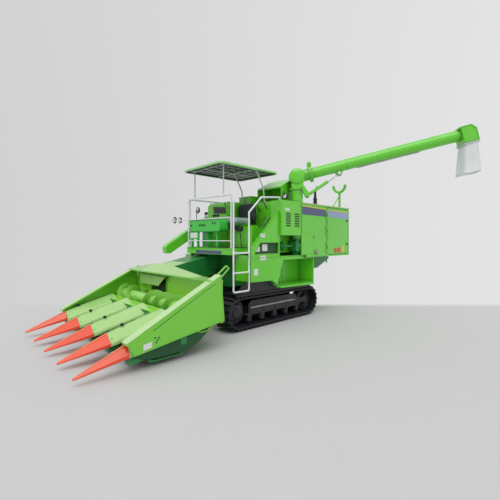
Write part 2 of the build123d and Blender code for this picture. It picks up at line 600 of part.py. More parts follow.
# Boom: hinged at the elbow, with its drive flange pair and the rod's lug
BOOM_ROOT = -60
with BuildPart() as auger_boom:
    bar(on_boom(BOOM_ROOT), on_boom(BOOM_LENGTH), BOOM_D)
    bar(on_boom(250), on_boom(290), 270)
    bar(on_boom(BOOM_LENGTH - 60), on_boom(BOOM_LENGTH), 235)
    bar(Vector(*on_boom(0)) - BOOM_ACROSS * 140, Vector(*on_boom(0)) + BOOM_ACROSS * 140, 50)
    for side in (1, -1):
        lug = Plane(origin=Vector(*on_boom(0)) + BOOM_ACROSS * side * 36, x_dir=BOOM_ALONG,
                    z_dir=BOOM_ACROSS * -1)
        profile(lug.offset(-5), ((ROD_PIN[0] - 80, -90), (ROD_PIN[0] + 80, -90), (ROD_PIN[0] + 36, ROD_PIN[1] - 36),
                                 (ROD_PIN[0] - 36, ROD_PIN[1] - 36)), 10)
    rod_pin = Vector(*on_boom(ROD_PIN[0], -ROD_PIN[1]))
    bar(rod_pin - BOOM_ACROSS * 45, rod_pin + BOOM_ACROSS * 45, BOOM_PIN_D + 2 * BOOM_PIN_PLAY, mode=Mode.SUBTRACT)
hand_in(auger_boom, "auger_boom")

with BuildPart() as auger_spout:
    spout = Plane(origin=on_boom(BOOM_LENGTH), x_dir=BOOM_ALONG, z_dir=BOOM_ACROSS * -1)
    profile(spout.offset(-150), ((-60, 125), (120, 125), (190, 40), (190, -175), (-60, -175)), 300)
    cut_by(auger_boom)
hand_in(auger_spout, "auger_spout")

with BuildPart() as spout_sleeve:
    sleeve = Plane(origin=on_boom(BOOM_LENGTH + 62, 176), x_dir=BOOM_ACROSS, z_dir=(0, 0, -1))
    with BuildSketch(sleeve):
        Rectangle(300, 250)
    with BuildSketch(sleeve.offset(560)):
        Rectangle(430, 330)
    loft()
    cut_by(auger_spout)
hand_in(spout_sleeve, "spout_sleeve")

# Boom cylinder between the swivel and the boom
BARREL_END = Vector(*boom_point(*BARREL_PIN))
ROD_END = Vector(*on_boom(ROD_PIN[0], -ROD_PIN[1]))
CYL_AXIS = (ROD_END - BARREL_END).normalized()
CYL_LENGTH = (ROD_END - BARREL_END).length
with BuildPart() as boom_cylinder_barrel:
    bar(BARREL_END + CYL_AXIS * 20, BARREL_END + CYL_AXIS * 470, 62)
    bar(BARREL_END - BOOM_ACROSS * 25, BARREL_END + BOOM_ACROSS * 25, 56)
    bar(BARREL_END - BOOM_ACROSS * 30, BARREL_END + BOOM_ACROSS * 30, 29, mode=Mode.SUBTRACT)
    bar(BARREL_END + CYL_AXIS * 60, BARREL_END + CYL_AXIS * 480, 34, mode=Mode.SUBTRACT)
hand_in(boom_cylinder_barrel, "boom_cylinder_barrel")

with BuildPart() as boom_cylinder_rod:
    bar(BARREL_END + CYL_AXIS * 260, ROD_END - CYL_AXIS * 15, 33)
    bar(ROD_END - BOOM_ACROSS * 25, ROD_END + BOOM_ACROSS * 25, 50)
    bar(ROD_END - BOOM_ACROSS * 54, ROD_END + BOOM_ACROSS * 54, BOOM_PIN_D)
    for side in (1, -1):
        bar(ROD_END + BOOM_ACROSS * side * 43, ROD_END + BOOM_ACROSS * side * 49, 64)
hand_in(boom_cylinder_rod, "boom_cylinder_rod")

# Feeder house: turns about its upper drum
FEEDER_MOUTH = ((HEADER_BACK + 30, 1050), (HEADER_BACK + 30, 440))
with BuildPart() as feeder_house:
    with BuildSketch(Plane.YZ.offset(FEEDER_X[0])):
        with BuildLine():
            Polyline(FEEDER_MOUTH[0], (PIVOT_Y - 34, PIVOT_Z + 177), (PIVOT_Y + 74, PIVOT_Z - 164),
                     FEEDER_MOUTH[1], close=True)
        make_face()
        with Locations((PIVOT_Y, PIVOT_Z)):
            Circle(DRUM_R)
    extrude(amount=FEEDER_X[1] - FEEDER_X[0])
    bar((FEEDER_X[0] - 5, PIVOT_Y, PIVOT_Z), (FEEDER_X[0] + 60, PIVOT_Y, PIVOT_Z), 60.1, mode=Mode.SUBTRACT)
    bar((FEEDER_X[1] - 60, PIVOT_Y, PIVOT_Z), (FEEDER_X[1] + 5, PIVOT_Y, PIVOT_Z), 60.1, mode=Mode.SUBTRACT)
    for face in (-1, 1):
        x = LIFT_X + face * 42
        across(x - 8, x + 8, ((-1410, 570), (-1250, 640), (-1295, 490), (-1365, 490)))
    bar((LIFT_X - 60, *HEADER_PIN_HIGH), (LIFT_X + 60, *HEADER_PIN_HIGH), HEADER_PIN_D + 2 * HEADER_PIN_PLAY,
        mode=Mode.SUBTRACT)
    across(FEEDER_X[0] - 100, FEEDER_X[0], ((HEADER_BACK + 30, 900), (-1050, 1080), (-1000, 1000), (-1050, 890),
                                            (HEADER_BACK + 30, 680)))
hand_in(feeder_house, "feeder_house")


# Header frame: back wall with the feed opening, auger pan, end plates, rear top cover
END_PLATE = ((HEADER_BACK - 20, 1050), (HEADER_BACK + 40, 400), (-2965, 205), (-3050, 368))
PAN_R = 225
with BuildPart() as header_ends:
    for side in (1, -1):
        inner, outer = sorted((side * (HEADER_X - 30), side * HEADER_X))
        across(inner, outer, END_PLATE)
        low, high = sorted((side * (HEADER_X - 140), side * HEADER_X))
        across(low, high, ((HEADER_BACK - 20, 1050), (HEADER_BACK - 20, 1020), (-3050, 338), (-3050, 368)))
    for side in (1, -1):
        bar((side * (HEADER_X - 40), AUGER_Y, AUGER_Z), (side * (HEADER_X - 30), AUGER_Y, AUGER_Z), 120)
        bar((side * (HEADER_X - 100), AUGER_Y, AUGER_Z), (side * (HEADER_X - 40), AUGER_Y, AUGER_Z), 60)
hand_in(header_ends, "header_ends")

with BuildPart() as header_frame:
    block((-HEADER_X + 30, HEADER_X - 30), (HEADER_BACK, HEADER_BACK + 30), (360, 1000))
    cut_block((FEEDER_X[0] + 20, FEEDER_X[1] - 20), (HEADER_BACK - 10, HEADER_BACK + 40), (450, 850))
    with BuildSketch(Plane.YZ.offset(-HEADER_X + 30)):
        with Locations((AUGER_Y, AUGER_Z)):
            Circle(PAN_R + 12)
            Circle(PAN_R, mode=Mode.SUBTRACT)
            with Locations((0, 200)):
                Rectangle(600, 400, mode=Mode.SUBTRACT)
    extrude(amount=2 * HEADER_X - 60)
    block((-HEADER_X + 30, HEADER_X - 30), (AUGER_Y + PAN_R, HEADER_BACK), (460, 480))
    block((-HEADER_X + 30, HEADER_X - 30), (RIDGE_REAR[0], AUGER_Y - PAN_R), (470, 482))
    along(HEADER_BACK - 190, HEADER_BACK + 30,
          ((-HEADER_X + 30, 970), (-HEADER_X + 30, 1010), (-900, 1090), (900, 1090), (HEADER_X - 30, 1010),
           (HEADER_X - 30, 970), (900, 1040), (-900, 1040)))
    block((-HEADER_X + 30, HEADER_X - 30), (HEADER_BACK - 10, HEADER_BACK + 30), (960, 1045))
    cut_by(header_ends)
hand_in(header_frame, "header_frame")


# Row beam and its arms: what carries the rows under the hoods
with BuildPart() as row_beam:
    block((-HEADER_X + 30, HEADER_X - 30), (-2330, -2240), (200, 300))
    for x in (-1000, -400, 400, 1000):
        across(x - 30, x + 30, ((-2290, 290), (-2240, 200), (-1960, 290), (-1960, 300), (-2150, 330)))
    for x in DIVIDER_XS:
        across(x - 60, x + 60, ((-3000, 90), (-2240, 200), (-2240, 300), (-2318, 300), (-3000, 150)))
    cut_by(header_frame)
    for x in (-1234, -617, 617, 1234):
        across(x - 45, x + 45, ((-2760, 75), (-2700, 50), (-2300, 50), (-2240, 75), (-2240, 205), (-2290, 205),
                                (-2310, 75), (-2680, 75), (-2740, 100)))
hand_in(row_beam, "row_beam")

# Hoods: five ridges between the rows, each narrower outside at the header's ends
def ridge_half_widths(x, wide):
    """How far a ridge reaches to its right and left."""
    outer = min(wide, HEADER_X - 32 - abs(x))
    if x > ROW_PITCH * 1.5:
        return wide, outer
    if x < -ROW_PITCH * 1.5:
        return outer, wide
    return wide, wide


def ridge_section(x, ridge, shoulder, foot, wide):
    """(x, z) points of a ridge: foot, shoulder, ridge line, shoulder, foot."""
    right, left = ridge_half_widths(x, wide)
    slope = (ridge - shoulder) / wide
    return ((x - right, foot), (x - right, ridge - slope * right), (x, ridge),
            (x + left, ridge - slope * left), (x + left, foot))


def ridge_loft(x, front, rear):
    """A loft between two ridge sections, each given as y, ridge, shoulder, foot, half width."""
    ends = []
    for y, ridge, shoulder, foot, wide in (front, rear):
        with BuildSketch(Plane.XZ.offset(-y)) as end:
            with BuildLine():
                Polyline(*ridge_section(x, ridge, shoulder, foot, wide), close=True)
            make_face()
        ends.append(end.sketch)
    loft(sections=ends, ruled=True)


SNOUT_TIP = (TIP[0], TIP[1], 80, 70, 14)
SNOUT_BASE = (RIDGE_FRONT[0], RIDGE_FRONT[1], 185, 125, 160)
HOOD_FRONT = (RIDGE_FRONT[0], RIDGE_FRONT[1], 185, 125, 160)
HOOD_REAR = (RIDGE_REAR[0], RIDGE_REAR[1], 290, 235, 240)

with BuildPart() as row_hoods:
    for x in DIVIDER_XS:
        ridge_loft(x, HOOD_FRONT, HOOD_REAR)
        with Locations(Location((x, -2800, 398), (0, 0, 0))):
            Cylinder(22, 36)
    cut_by(row_beam)
    cut_by(header_ends)
hand_in(row_hoods, "row_hoods")

with BuildPart() as row_snouts:
    for x in DIVIDER_XS:
        ridge_loft(x, SNOUT_TIP, SNOUT_BASE)
    cut_by(row_hoods)
hand_in(row_snouts, "row_snouts")

# Gathering chains: two loops in each row's gap, with fingers towards the row
CHAIN_SLOPE = 10.5
CHAIN_RUN = 560
with BuildPart() as gathering_chains:
    for x in ROW_XS:
        for side in (-1, 1):
            lie = Plane(origin=(x + side * 42, -2640, 285), x_dir=(0, cos(radians(CHAIN_SLOPE)), sin(radians(CHAIN_SLOPE))),
                        z_dir=(0, -sin(radians(CHAIN_SLOPE)), cos(radians(CHAIN_SLOPE))))
            with BuildSketch(lie):
                SlotCenterToCenter(CHAIN_RUN, 36)
                SlotCenterToCenter(CHAIN_RUN, 20, mode=Mode.SUBTRACT)
                with GridLocations(112, 0, 5, 1):
                    with Locations((0, side * 22)):
                        Rectangle(16, 12)
            extrude(amount=16)
hand_in(gathering_chains, "gathering_chains")

with BuildPart() as stalk_rolls:
    for x in ROW_XS:
        for side in (-1, 1):
            bar((x + side * 46, -2900, 160), (x + side * 46, -2330, 250), 76)
            bar((x + side * 46, -2900, 160), (x + side * 46, -2960, 150), 40)
        block((x - 110, x + 110), (-2345, -2330), (205, 330))
        for side in (-1, 1):
            bar((x + side * 42, -2375, 245), (x + side * 42, -2375, 345), 20)
    cut_by(row_beam)
    cut_by(row_hoods)
    cut_by(gathering_chains)
hand_in(stalk_rolls, "stalk_rolls")

# Cross auger: its tube, two flights that wind opposite ways, and fingers at the feeder
FLIGHT_PITCH = 380
AUGER_TUBE_R = 105
# Flights: start in x, length, left-handed or not
FLIGHTS = ((-HEADER_X + 60, 560, False), (-150, 1430, True))
with BuildPart() as header_auger:
    bar((-HEADER_X + 45, AUGER_Y, AUGER_Z), (HEADER_X - 45, AUGER_Y, AUGER_Z), 2 * AUGER_TUBE_R)
    for side in (1, -1):
        bar((side * (HEADER_X - 40), AUGER_Y, AUGER_Z), (side * (HEADER_X - 110), AUGER_Y, AUGER_Z), 60.1,
            mode=Mode.SUBTRACT)
    for start, length, lefthand in FLIGHTS:
        middle_r = (AUGER_R + AUGER_TUBE_R - 4) / 2
        with BuildLine() as winding:
            Helix(FLIGHT_PITCH, length, middle_r, center=(start, AUGER_Y, AUGER_Z), direction=(1, 0, 0),
                  lefthand=lefthand)
        with BuildSketch(winding.line ^ 0) as blade:
            Rectangle(AUGER_R - AUGER_TUBE_R + 4, 6)
        sweep(sections=blade.sketch, path=winding.line, is_frenet=True)
    for i in range(6):
        turn = radians(60 * i)
        x = -680 + 85 * i
        tip = (x, AUGER_Y + AUGER_R * cos(turn), AUGER_Z + AUGER_R * sin(turn))
        bar((x, AUGER_Y, AUGER_Z), tip, 18)
hand_in(header_auger, "header_auger")

# Header lift cylinder
LOW = Vector(LIFT_X, *HEADER_PIN_LOW)
HIGH = Vector(LIFT_X, *HEADER_PIN_HIGH)
LIFT_AXIS = (HIGH - LOW).normalized()
with BuildPart() as header_cylinder_barrel:
    bar(LOW + LIFT_AXIS * 22, LOW + LIFT_AXIS * 400, 68)
    bar(LOW - Vector(30, 0, 0), LOW + Vector(30, 0, 0), 60)
    bar(LOW - Vector(35, 0, 0), LOW + Vector(35, 0, 0), 31, mode=Mode.SUBTRACT)
    bar(LOW + LIFT_AXIS * 60, LOW + LIFT_AXIS * 410, 39, mode=Mode.SUBTRACT)
hand_in(header_cylinder_barrel, "header_cylinder_barrel")

with BuildPart() as header_cylinder_rod:
    bar(LOW + LIFT_AXIS * 220, HIGH - LIFT_AXIS * 18, 38)
    bar(HIGH - Vector(30, 0, 0), HIGH + Vector(30, 0, 0), 56)
    bar(HIGH - Vector(64, 0, 0), HIGH + Vector(64, 0, 0), HEADER_PIN_D)
    for side in (1, -1):
        bar(HIGH + Vector(side * 52, 0, 0), HIGH + Vector(side * 58, 0, 0), 56)
hand_in(header_cylinder_rod, "header_cylinder_rod")

# Inclined drive cover on the right, from the header's height to the tank
COVER_LOW = (-1300, 1340)
COVER_HIGH = (60, 2290)
with BuildPart() as drive_cover:
    across(-980, -840, ((COVER_LOW[0], COVER_LOW[1] - 60), (COVER_LOW[0] - 30, COVER_LOW[1] + 60),
                        (COVER_LOW[0] + 20, COVER_LOW[1] + 110), (TANK_Y[0], TANK_Z[1] - 20),
                        (TANK_Y[0], TANK_Z[1] - 250), (COVER_LOW[0] + 80, COVER_LOW[1] - 60)))
    fillet(drive_cover.edges().filter_by(Axis.X).group_by(Axis.Y)[0], 25)
hand_in(drive_cover, "drive_cover")

# Lamps: work lamp on the tank hood, round lamp at the hood's side, and tail lamps
with BuildPart() as lamps:
    with Locations(Location((820, 330, 2400), (90, 0, 0))):
        Cylinder(60, 60)
    bar((820, 340, 2400), (820, 340, 2280), 18)
    with Locations(Location((-460, -940, 2430), (90, 0, 0))):
        Cylinder(55, 60)
    with Locations(Location((430, -940, 2430), (90, 0, 0))):
        Cylinder(55, 60)
    for x in (-900, 900):
        block((x - 60, x + 60), (HOOD_Y[1], HOOD_Y[1] + 30), (1300, 1380))
    cut_by(canopy_frame)
hand_in(lamps, "lamps")
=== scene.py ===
"""Looks of the tracked combine harvester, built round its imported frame, in metres.

+X is the machine's left, -Y its front, +Z up, with the origin on the ground between the tracks.
"""
import bpy
import bmesh
from itertools import product
from math import cos, pi, radians, sin, tan
from mathutils import Matrix, Vector, noise


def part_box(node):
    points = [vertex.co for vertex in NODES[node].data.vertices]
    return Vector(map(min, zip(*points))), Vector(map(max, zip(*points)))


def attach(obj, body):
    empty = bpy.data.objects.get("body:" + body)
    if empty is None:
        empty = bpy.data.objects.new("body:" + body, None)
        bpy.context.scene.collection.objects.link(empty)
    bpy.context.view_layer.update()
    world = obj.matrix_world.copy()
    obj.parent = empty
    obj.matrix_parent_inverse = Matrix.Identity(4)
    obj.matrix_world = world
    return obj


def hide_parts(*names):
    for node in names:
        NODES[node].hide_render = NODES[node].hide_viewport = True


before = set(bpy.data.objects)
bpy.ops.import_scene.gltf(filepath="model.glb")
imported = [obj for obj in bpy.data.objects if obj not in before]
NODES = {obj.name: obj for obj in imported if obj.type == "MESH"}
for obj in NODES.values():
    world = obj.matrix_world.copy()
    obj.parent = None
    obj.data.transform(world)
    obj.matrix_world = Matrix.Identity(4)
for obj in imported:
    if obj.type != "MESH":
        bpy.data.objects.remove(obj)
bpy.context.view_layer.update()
X, Y, Z = Vector((1, 0, 0)), Vector((0, 1, 0)), Vector((0, 0, 1))
WELD = 0.00002     # CAD corners nearer than this are one


def new_object(name, data):
    made = bpy.data.objects.new(name, data)
    bpy.context.scene.collection.objects.link(made)
    return made


# Camera: at the height of a person's eyes, level, off the machine's front left corner
CAMERA_AT = Vector((5.034, -4.63, 1.55))
CAMERA_TURN = radians(46.416)
lens = bpy.data.cameras.new("camera")
lens.sensor_width = 36
lens.lens = 23.921
lens.shift_y = -0.02054
lens.clip_end = 200
camera = new_object("camera", lens)
camera.location = CAMERA_AT
camera.rotation_euler = (pi / 2, 0, CAMERA_TURN)
bpy.context.scene.camera = camera
bpy.context.scene.view_settings.view_transform = "Standard"


def srgb(r, g, b):
    """A linear colour from 0-255 screen values."""
    linear = [c / 3294.6 if c < 10.3 else ((c / 255 + 0.055) / 1.055) ** 2.4 for c in (r, g, b)]
    return (*linear, 1)


# Materials
class Nodes:
    """A material or world and short calls for its nodes."""

    def __init__(self, owner):
        owner.use_nodes = True
        self.tree = owner.node_tree
        self.tree.nodes.clear()

    def add(self, kind, inputs=(), **settings):
        node = self.tree.nodes.new(kind)
        for key, value in settings.items():
            setattr(node, key, value)
        for key, value in dict(inputs).items():
            if isinstance(value, bpy.types.NodeSocket):
                self.tree.links.new(value, node.inputs[key])
            else:
                node.inputs[key].default_value = value
        return node

    def noise(self, scale, detail=3.0):
        place = self.add("ShaderNodeTexCoord").outputs["Object"]
        inputs = {"Vector": place, "Scale": scale, "Detail": detail}
        return self.add("ShaderNodeTexNoise", inputs).outputs["Fac"]

    def span(self, value, low, high, start=0.3, end=0.7):
        inputs = {"Value": value, "From Min": start, "From Max": end, "To Min": low, "To Max": high}
        return self.add("ShaderNodeMapRange", inputs).outputs[0]

    def mix(self, fac, a, b):
        node = self.add("ShaderNodeMix", data_type="RGBA")
        for index, value in ((0, fac), (6, a), (7, b)):
            if isinstance(value, bpy.types.NodeSocket):
                self.tree.links.new(value, node.inputs[index])
            else:
                node.inputs[index].default_value = value
        return node.outputs[2]

    def output(self, shader, kind="ShaderNodeOutputMaterial"):
        self.tree.links.new(shader, self.add(kind).inputs["Surface"])


def finish(name, rgb, rough=(0.3, 0.4), shade=0.85, patch=2.5, grain=(300, 0.03),
        crease_shade=0.0, **sockets):
    """A surface whose colour drifts to a darker shade in patches, with its own roughness and fine grain.

    The crease amount paints shade into its inner corners, darker where they are more hidden.
    """
    colour = srgb(*rgb)
    made = bpy.data.materials.new(name)
    made.diffuse_color = colour
    n = Nodes(made)
    dark = tuple(c * shade for c in colour[:3]) + (1,)
    base = n.mix(n.span(n.noise(patch, 4), 0, 1), colour, dark)
    # Painted shade: inner corners darken by their ambient occlusion.
    if crease_shade:
        hollow = n.add("ShaderNodeAmbientOcclusion", {"Distance": 0.09}, samples=4).outputs["AO"]
        crease_shade_colour = tuple(c * (1 - crease_shade) for c in colour[:3]) + (1,)
        base = n.mix(n.span(hollow, 1, 0, 0.35, 0.9), base, crease_shade_colour)
    shader = n.add("ShaderNodeBsdfPrincipled", {"Base Color": base, "Roughness": n.span(n.noise(9, 5),
        *rough)})
    scale, strength = grain
    bump = n.add("ShaderNodeBump", {"Height": n.noise(scale, 2),
        "Strength": strength, "Distance": 0.002})
    n.tree.links.new(bump.outputs[0], shader.inputs["Normal"])
    for key, value in sockets.items():
        shader.inputs[key.replace("_", " ")].default_value = value
    n.output(shader.outputs[0])
    return made


def enamel(name, rgb, low, high, shade, crease_shade, coat, coat_rough=0.2, patch=1.7, grain=0.02):
    """Painted sheet under a clear coat."""
    return finish(name, rgb, (low, high), shade, patch, (260, grain),
        crease_shade, Coat_Weight=coat, Coat_Roughness=coat_rough)


GREEN = enamel("light_green_enamel", (103, 212, 40), 0.26, 0.36, 0.93, 0.45, 0.7, 0.16)
PALE_GREEN = enamel("header_enamel", (116, 208, 44), 0.28, 0.38, 0.95, 0.3, 1.0)
DARK_GREEN = enamel("dark_green_enamel", (36, 138, 62), 0.34, 0.46, 0.9, 0.4, 0.3, 0.2, 2.5, 0.03)
CONSOLE_GREEN = enamel("console_enamel", (55, 204, 62), 0.3, 0.42, 0.92, 0.35, 0.5, 0.2, 2.5, 0.03)
# A paler copy of the green for the ridge hoods and the hood's top edge: the sheen of a bright ceiling,
# painted in.
SHEEN_HOOD_GREEN = enamel("hood_enamel_painted_sheen", (168, 214, 128), 0.26, 0.38, 0.95, 0.3, 1.0)
# A paler copy of the green for the header's top cover, deflector and feeder top: painted sheen.
SHEEN_COVER_GREEN = enamel("header_enamel_painted_sheen", (166, 214, 124), 0.3, 0.42, 0.95, 0.3, 0.8, 0.25)
# A paler copy still, for the end plates' rims: a painted highlight.
HIGHLIGHT_RIM_GREEN = enamel("rim_enamel_painted_highlight", (184, 224, 152), 0.26, 0.38, 0.95, 0.2, 1.0)
FLIGHT_GREEN = enamel("flight_enamel", (152, 218, 96), 0.28, 0.4, 0.93, 0.4, 0.8)
# A brighter copy of the header green for the trough, which lies in shade: painted light.
LIT_TROUGH_GREEN = enamel("trough_enamel_painted_light", (158, 236, 66), 0.3, 0.42, 0.95, 0.3, 0.5, 0.25)
CANOPY_GREEN = enamel("canopy_enamel", (134, 205, 108), 0.3, 0.42, 0.95, 0.0, 0.8)
UNDER_GREEN = finish("shaded_green_enamel", (24, 84, 44), (0.4, 0.55), 0.85, 2.5, (260, 0.03), 0.4)
ORANGE = finish("snout_plastic", (236, 70, 20), (0.3, 0.42), 0.92, 3.5, (420, 0.05),
    Coat_Weight=0.8, Coat_Roughness=0.25)
# A lighter orange for a strip along each snout's crest: a painted highlight.
HIGHLIGHT_SNOUT_ORANGE = finish("snout_crest_highlight", (240, 120, 36), (0.3, 0.42), 0.9, 6, (420, 0.05), Coat_Weight=0.6)
WHITE = finish("white_tube_paint", (232, 236, 236), (0.25, 0.4), 0.93, 6, (200, 0.02), 0.2, Coat_Weight=0.4)
CANOPY_WHITE = finish("grey_white_tube_paint", (196, 204, 204), (0.3, 0.45), 0.9, 6, (200, 0.02), 0.2)
BLACK = finish("black_frame_paint", (24, 24, 32), (0.32, 0.55), 0.7, 5, (180, 0.08), Coat_Weight=0.2)
RUBBER = finish("track_rubber", (30, 30, 38), (0.5, 0.75), 0.65, 8, (130, 0.25))
PLASTIC = finish("black_plastic", (26, 27, 30), (0.35, 0.5), 0.8, 9, (500, 0.12))
VINYL = finish("seat_vinyl", (34, 40, 46), (0.32, 0.45), 0.85, 6, (220, 0.22), Sheen_Weight=0.1)
# The wrapped cushion's pale colour is a painted reflection of the bright room on its film.
SHEEN_WRAP = finish("wrapped_cushion_painted_sheen", (150, 172, 172), (0.16, 0.34), 0.75, 7, (60, 0.35),
    Coat_Weight=0.6, Coat_Roughness=0.1)
STEEL = finish("worn_steel", (168, 168, 172), (0.25, 0.45), 0.7, 12, (90, 0.1), Metallic=1.0)
CHROME = finish("cylinder_chrome", (214, 216, 220), (0.06, 0.14), 0.92, 12, (60, 0.01), Metallic=1.0)
OILED = finish("oiled_iron", (82, 80, 78), (0.35, 0.6), 0.6, 14, (120, 0.25), Metallic=0.8)
UNDERSIDE = finish("canopy_underside", (38, 48, 52), (0.35, 0.5), 0.8, 3, (300, 0.2), Coat_Weight=0.3)
NAVY = finish("navy_stripe", (70, 78, 122), (0.25, 0.35), 0.9, 5, (400, 0.01), Coat_Weight=0.5)
LAVENDER = finish("lavender_stripe", (150, 166, 206), (0.25, 0.35), 0.95, 5, (400, 0.01), Coat_Weight=0.5)
YELLOW = finish("yellow_stripe", (232, 204, 66), (0.3, 0.4), 0.93, 8, (400, 0.01), Coat_Weight=0.4)
LABEL = finish("blank_plate", (226, 230, 226), (0.3, 0.45), 0.94, 14, (300, 0.02), Coat_Weight=0.3)
RED = finish("red_plate", (214, 74, 48), (0.3, 0.45), 0.9, 14, (300, 0.02), Coat_Weight=0.3)
INK = finish("black_stroke", (22, 24, 26), (0.3, 0.4), 0.85, 14, (300, 0.02), Coat_Weight=0.3)
MIRROR_GLASS = finish("mirror_glass", (226, 232, 236), (0.03, 0.05), 0.96, 4, (10, 0.0), Metallic=1.0)
AMBER = finish("amber_lens", (226, 128, 30), (0.1, 0.2), 0.8, 30, (90, 0.3), Coat_Weight=1.0)
DIAL = finish("dial_face", (208, 212, 206), (0.2, 0.3), 0.9, 30, (200, 0.01), Coat_Weight=1.0)
MAT = finish("deck_mat", (46, 50, 50), (0.6, 0.8), 0.8, 12, (240, 0.4))


def woven(name, colour, pitch, through):
    """Coarse plain-woven plastic cloth that lets some light through."""
    made = bpy.data.materials.new(name)
    made.diffuse_color = colour
    n = Nodes(made)
    place = n.add("ShaderNodeTexCoord").outputs["Object"]
    waves = []
    for direction in ("X", "Z"):
        waves.append(n.add("ShaderNodeTexWave", {"Vector": place, "Scale": pitch, "Distortion": 0.6},
            bands_direction=direction).outputs["Fac"])
    weave = n.add("ShaderNodeMath", {0: waves[0], 1: waves[1]}, operation="MULTIPLY").outputs[0]
    dark = tuple(c * 0.93 for c in colour[:3]) + (1,)
    stain = n.mix(n.span(n.noise(5, 4), 0, 1), colour, dark)
    base = n.mix(n.span(weave, 0.25, 0, 0, 1), stain, dark)
    shader = n.add("ShaderNodeBsdfPrincipled", {"Base Color": base, "Roughness": n.span(n.noise(20),
        0.5, 0.7), "Sheen Weight": 0.25})
    bump = n.add("ShaderNodeBump", {"Height": weave, "Strength": 0.5, "Distance": 0.001})
    n.tree.links.new(bump.outputs[0], shader.inputs["Normal"])
    glow = n.add("ShaderNodeBsdfTranslucent", {"Color": base})
    mixed = n.add("ShaderNodeMixShader", {0: through, 1: shader.outputs[0], 2: glow.outputs[0]})
    n.output(mixed.outputs[0])
    return made


SLEEVE = woven("sleeve_cloth", srgb(250, 252, 252), 60, 0.42)
SLOTS = {material.name: slot for slot, materials in (("light_green", (GREEN, PALE_GREEN, SHEEN_HOOD_GREEN,
    SHEEN_COVER_GREEN, HIGHLIGHT_RIM_GREEN, FLIGHT_GREEN)), ("dark_green", (DARK_GREEN, UNDER_GREEN, NAVY, LAVENDER,
    YELLOW)), ("orange", (ORANGE, HIGHLIGHT_SNOUT_ORANGE, RED)), ("white", (WHITE, CANOPY_WHITE, LABEL, DIAL)),
    ("black_metal", (BLACK, PLASTIC, INK)), ("black_rubber", (RUBBER, MAT)), ("steel", (STEEL, OILED)),
    ("canopy_green", (CANOPY_GREEN, UNDERSIDE)), ("seat_vinyl", (SHEEN_WRAP, VINYL)), ("mirror", (MIRROR_GLASS,)),
    ("lamp", (AMBER,))) for material in materials}


# Floor, room and light
AHEAD = Vector((-sin(CAMERA_TURN), cos(CAMERA_TURN), 0))
ASIDE = Vector((cos(CAMERA_TURN), sin(CAMERA_TURN), 0))
WALL_LINE = 7.89          # how far before the camera's place the floor turns into the pale wall
WALL_LEFT = srgb(209, 209, 210)
WALL_RIGHT = srgb(228, 228, 229)
WALL_HALF_SPAN = 0.6


def wall_tone(n, direction):
    """The wall's grey, which gets paler from one end of the studio to the other."""
    aside = n.add("ShaderNodeVectorMath", {0: direction, 1: ASIDE},
        operation="DOT_PRODUCT").outputs["Value"]
    return n.mix(n.span(aside, 0, 1, -WALL_HALF_SPAN, WALL_HALF_SPAN), WALL_LEFT, WALL_RIGHT)


floor_material = bpy.data.materials.new("studio_floor")
n = Nodes(floor_material)
place = n.add("ShaderNodeTexCoord").outputs["Object"]
depth = n.add("ShaderNodeVectorMath", {0: place, 1: AHEAD}, operation="DOT_PRODUCT").outputs["Value"]
edge = CAMERA_AT.dot(AHEAD) + WALL_LINE
away = n.add("ShaderNodeVectorMath", {0: place, 1: CAMERA_AT}, operation="SUBTRACT").outputs[0]
away = n.add("ShaderNodeVectorMath", {0: away}, operation="NORMALIZE").outputs[0]
fleck = n.mix(n.span(n.noise(3, 5), 0, 0.1), srgb(197, 197, 197), srgb(184, 184, 184))
matt = n.add("ShaderNodeBsdfPrincipled", {"Base Color": fleck, "Roughness": 0.9, "Specular IOR Level": 0.0})
wall = n.add("ShaderNodeEmission", {"Color": wall_tone(n, away)})
beyond = n.span(depth, 0, 1, edge - 0.15, edge + 0.15)
n.output(n.add("ShaderNodeMixShader", {0: beyond, 1: matt.outputs[0], 2: wall.outputs[0]}).outputs[0])
mesh = bpy.data.meshes.new("floor")
mesh.from_pydata([(-60, -60, 0), (60, -60, 0), (60, 60, 0), (-60, 60, 0)], [], [(0, 1, 2, 3)])
mesh.materials.append(floor_material)
floor = new_object("floor", mesh)
floor.location.z = -0.002

# The world lights the machine as a pale room with a brighter ceiling, and shows its wall to the camera
world = bpy.data.worlds.new("studio")
bpy.context.scene.world = world
n = Nodes(world)
direction = n.add("ShaderNodeTexCoord").outputs["Generated"]
up = n.add("ShaderNodeSeparateXYZ", {0: direction}).outputs["Z"]
ramp = n.add("ShaderNodeValToRGB", {"Fac": up})
stops = ramp.color_ramp.elements
stops[0].color = (0.55, 0.55, 0.56, 1)
stops[0].position = 0.0
stops[1].color = (0.95, 0.95, 0.95, 1)
stops[1].position = 0.9
room = n.add("ShaderNodeBackground", {"Color": ramp.outputs[0], "Strength": 1.0}).outputs[0]
wall = n.add("ShaderNodeBackground", {"Color": wall_tone(n, direction), "Strength": 1.0}).outputs[0]
rays = n.add("ShaderNodeLightPath").outputs
seen = rays["Is Camera Ray"]
for kind in ("Is Glossy Ray", "Is Transmission Ray"):
    seen = n.add("ShaderNodeMath", {0: seen, 1: rays[kind]}, operation="MAXIMUM").outputs[0]
n.output(n.add("ShaderNodeMixShader", {0: seen, 1: room, 2: wall}).outputs[0], "ShaderNodeOutputWorld")

sun = bpy.data.lights.new("key", "SUN")
sun.angle = radians(50)
sun.energy = 1.1
key = new_object("key", sun)
key.rotation_euler = Vector((0.35, -0.55, 1.0)).to_track_quat("Z", "Y").to_euler()


# Mesh helpers
def shade_smooth(data):
    data.polygons.foreach_set("use_smooth", [True] * len(data.polygons))


def ring_axes(direction):
    """Two unit vectors square to a direction."""
    along = Vector(direction).normalized()
    side = along.cross(Z)
    if side.length < 0.05:
        side = along.cross(Y)
    side.normalize()
    return side, side.cross(along).normalized()


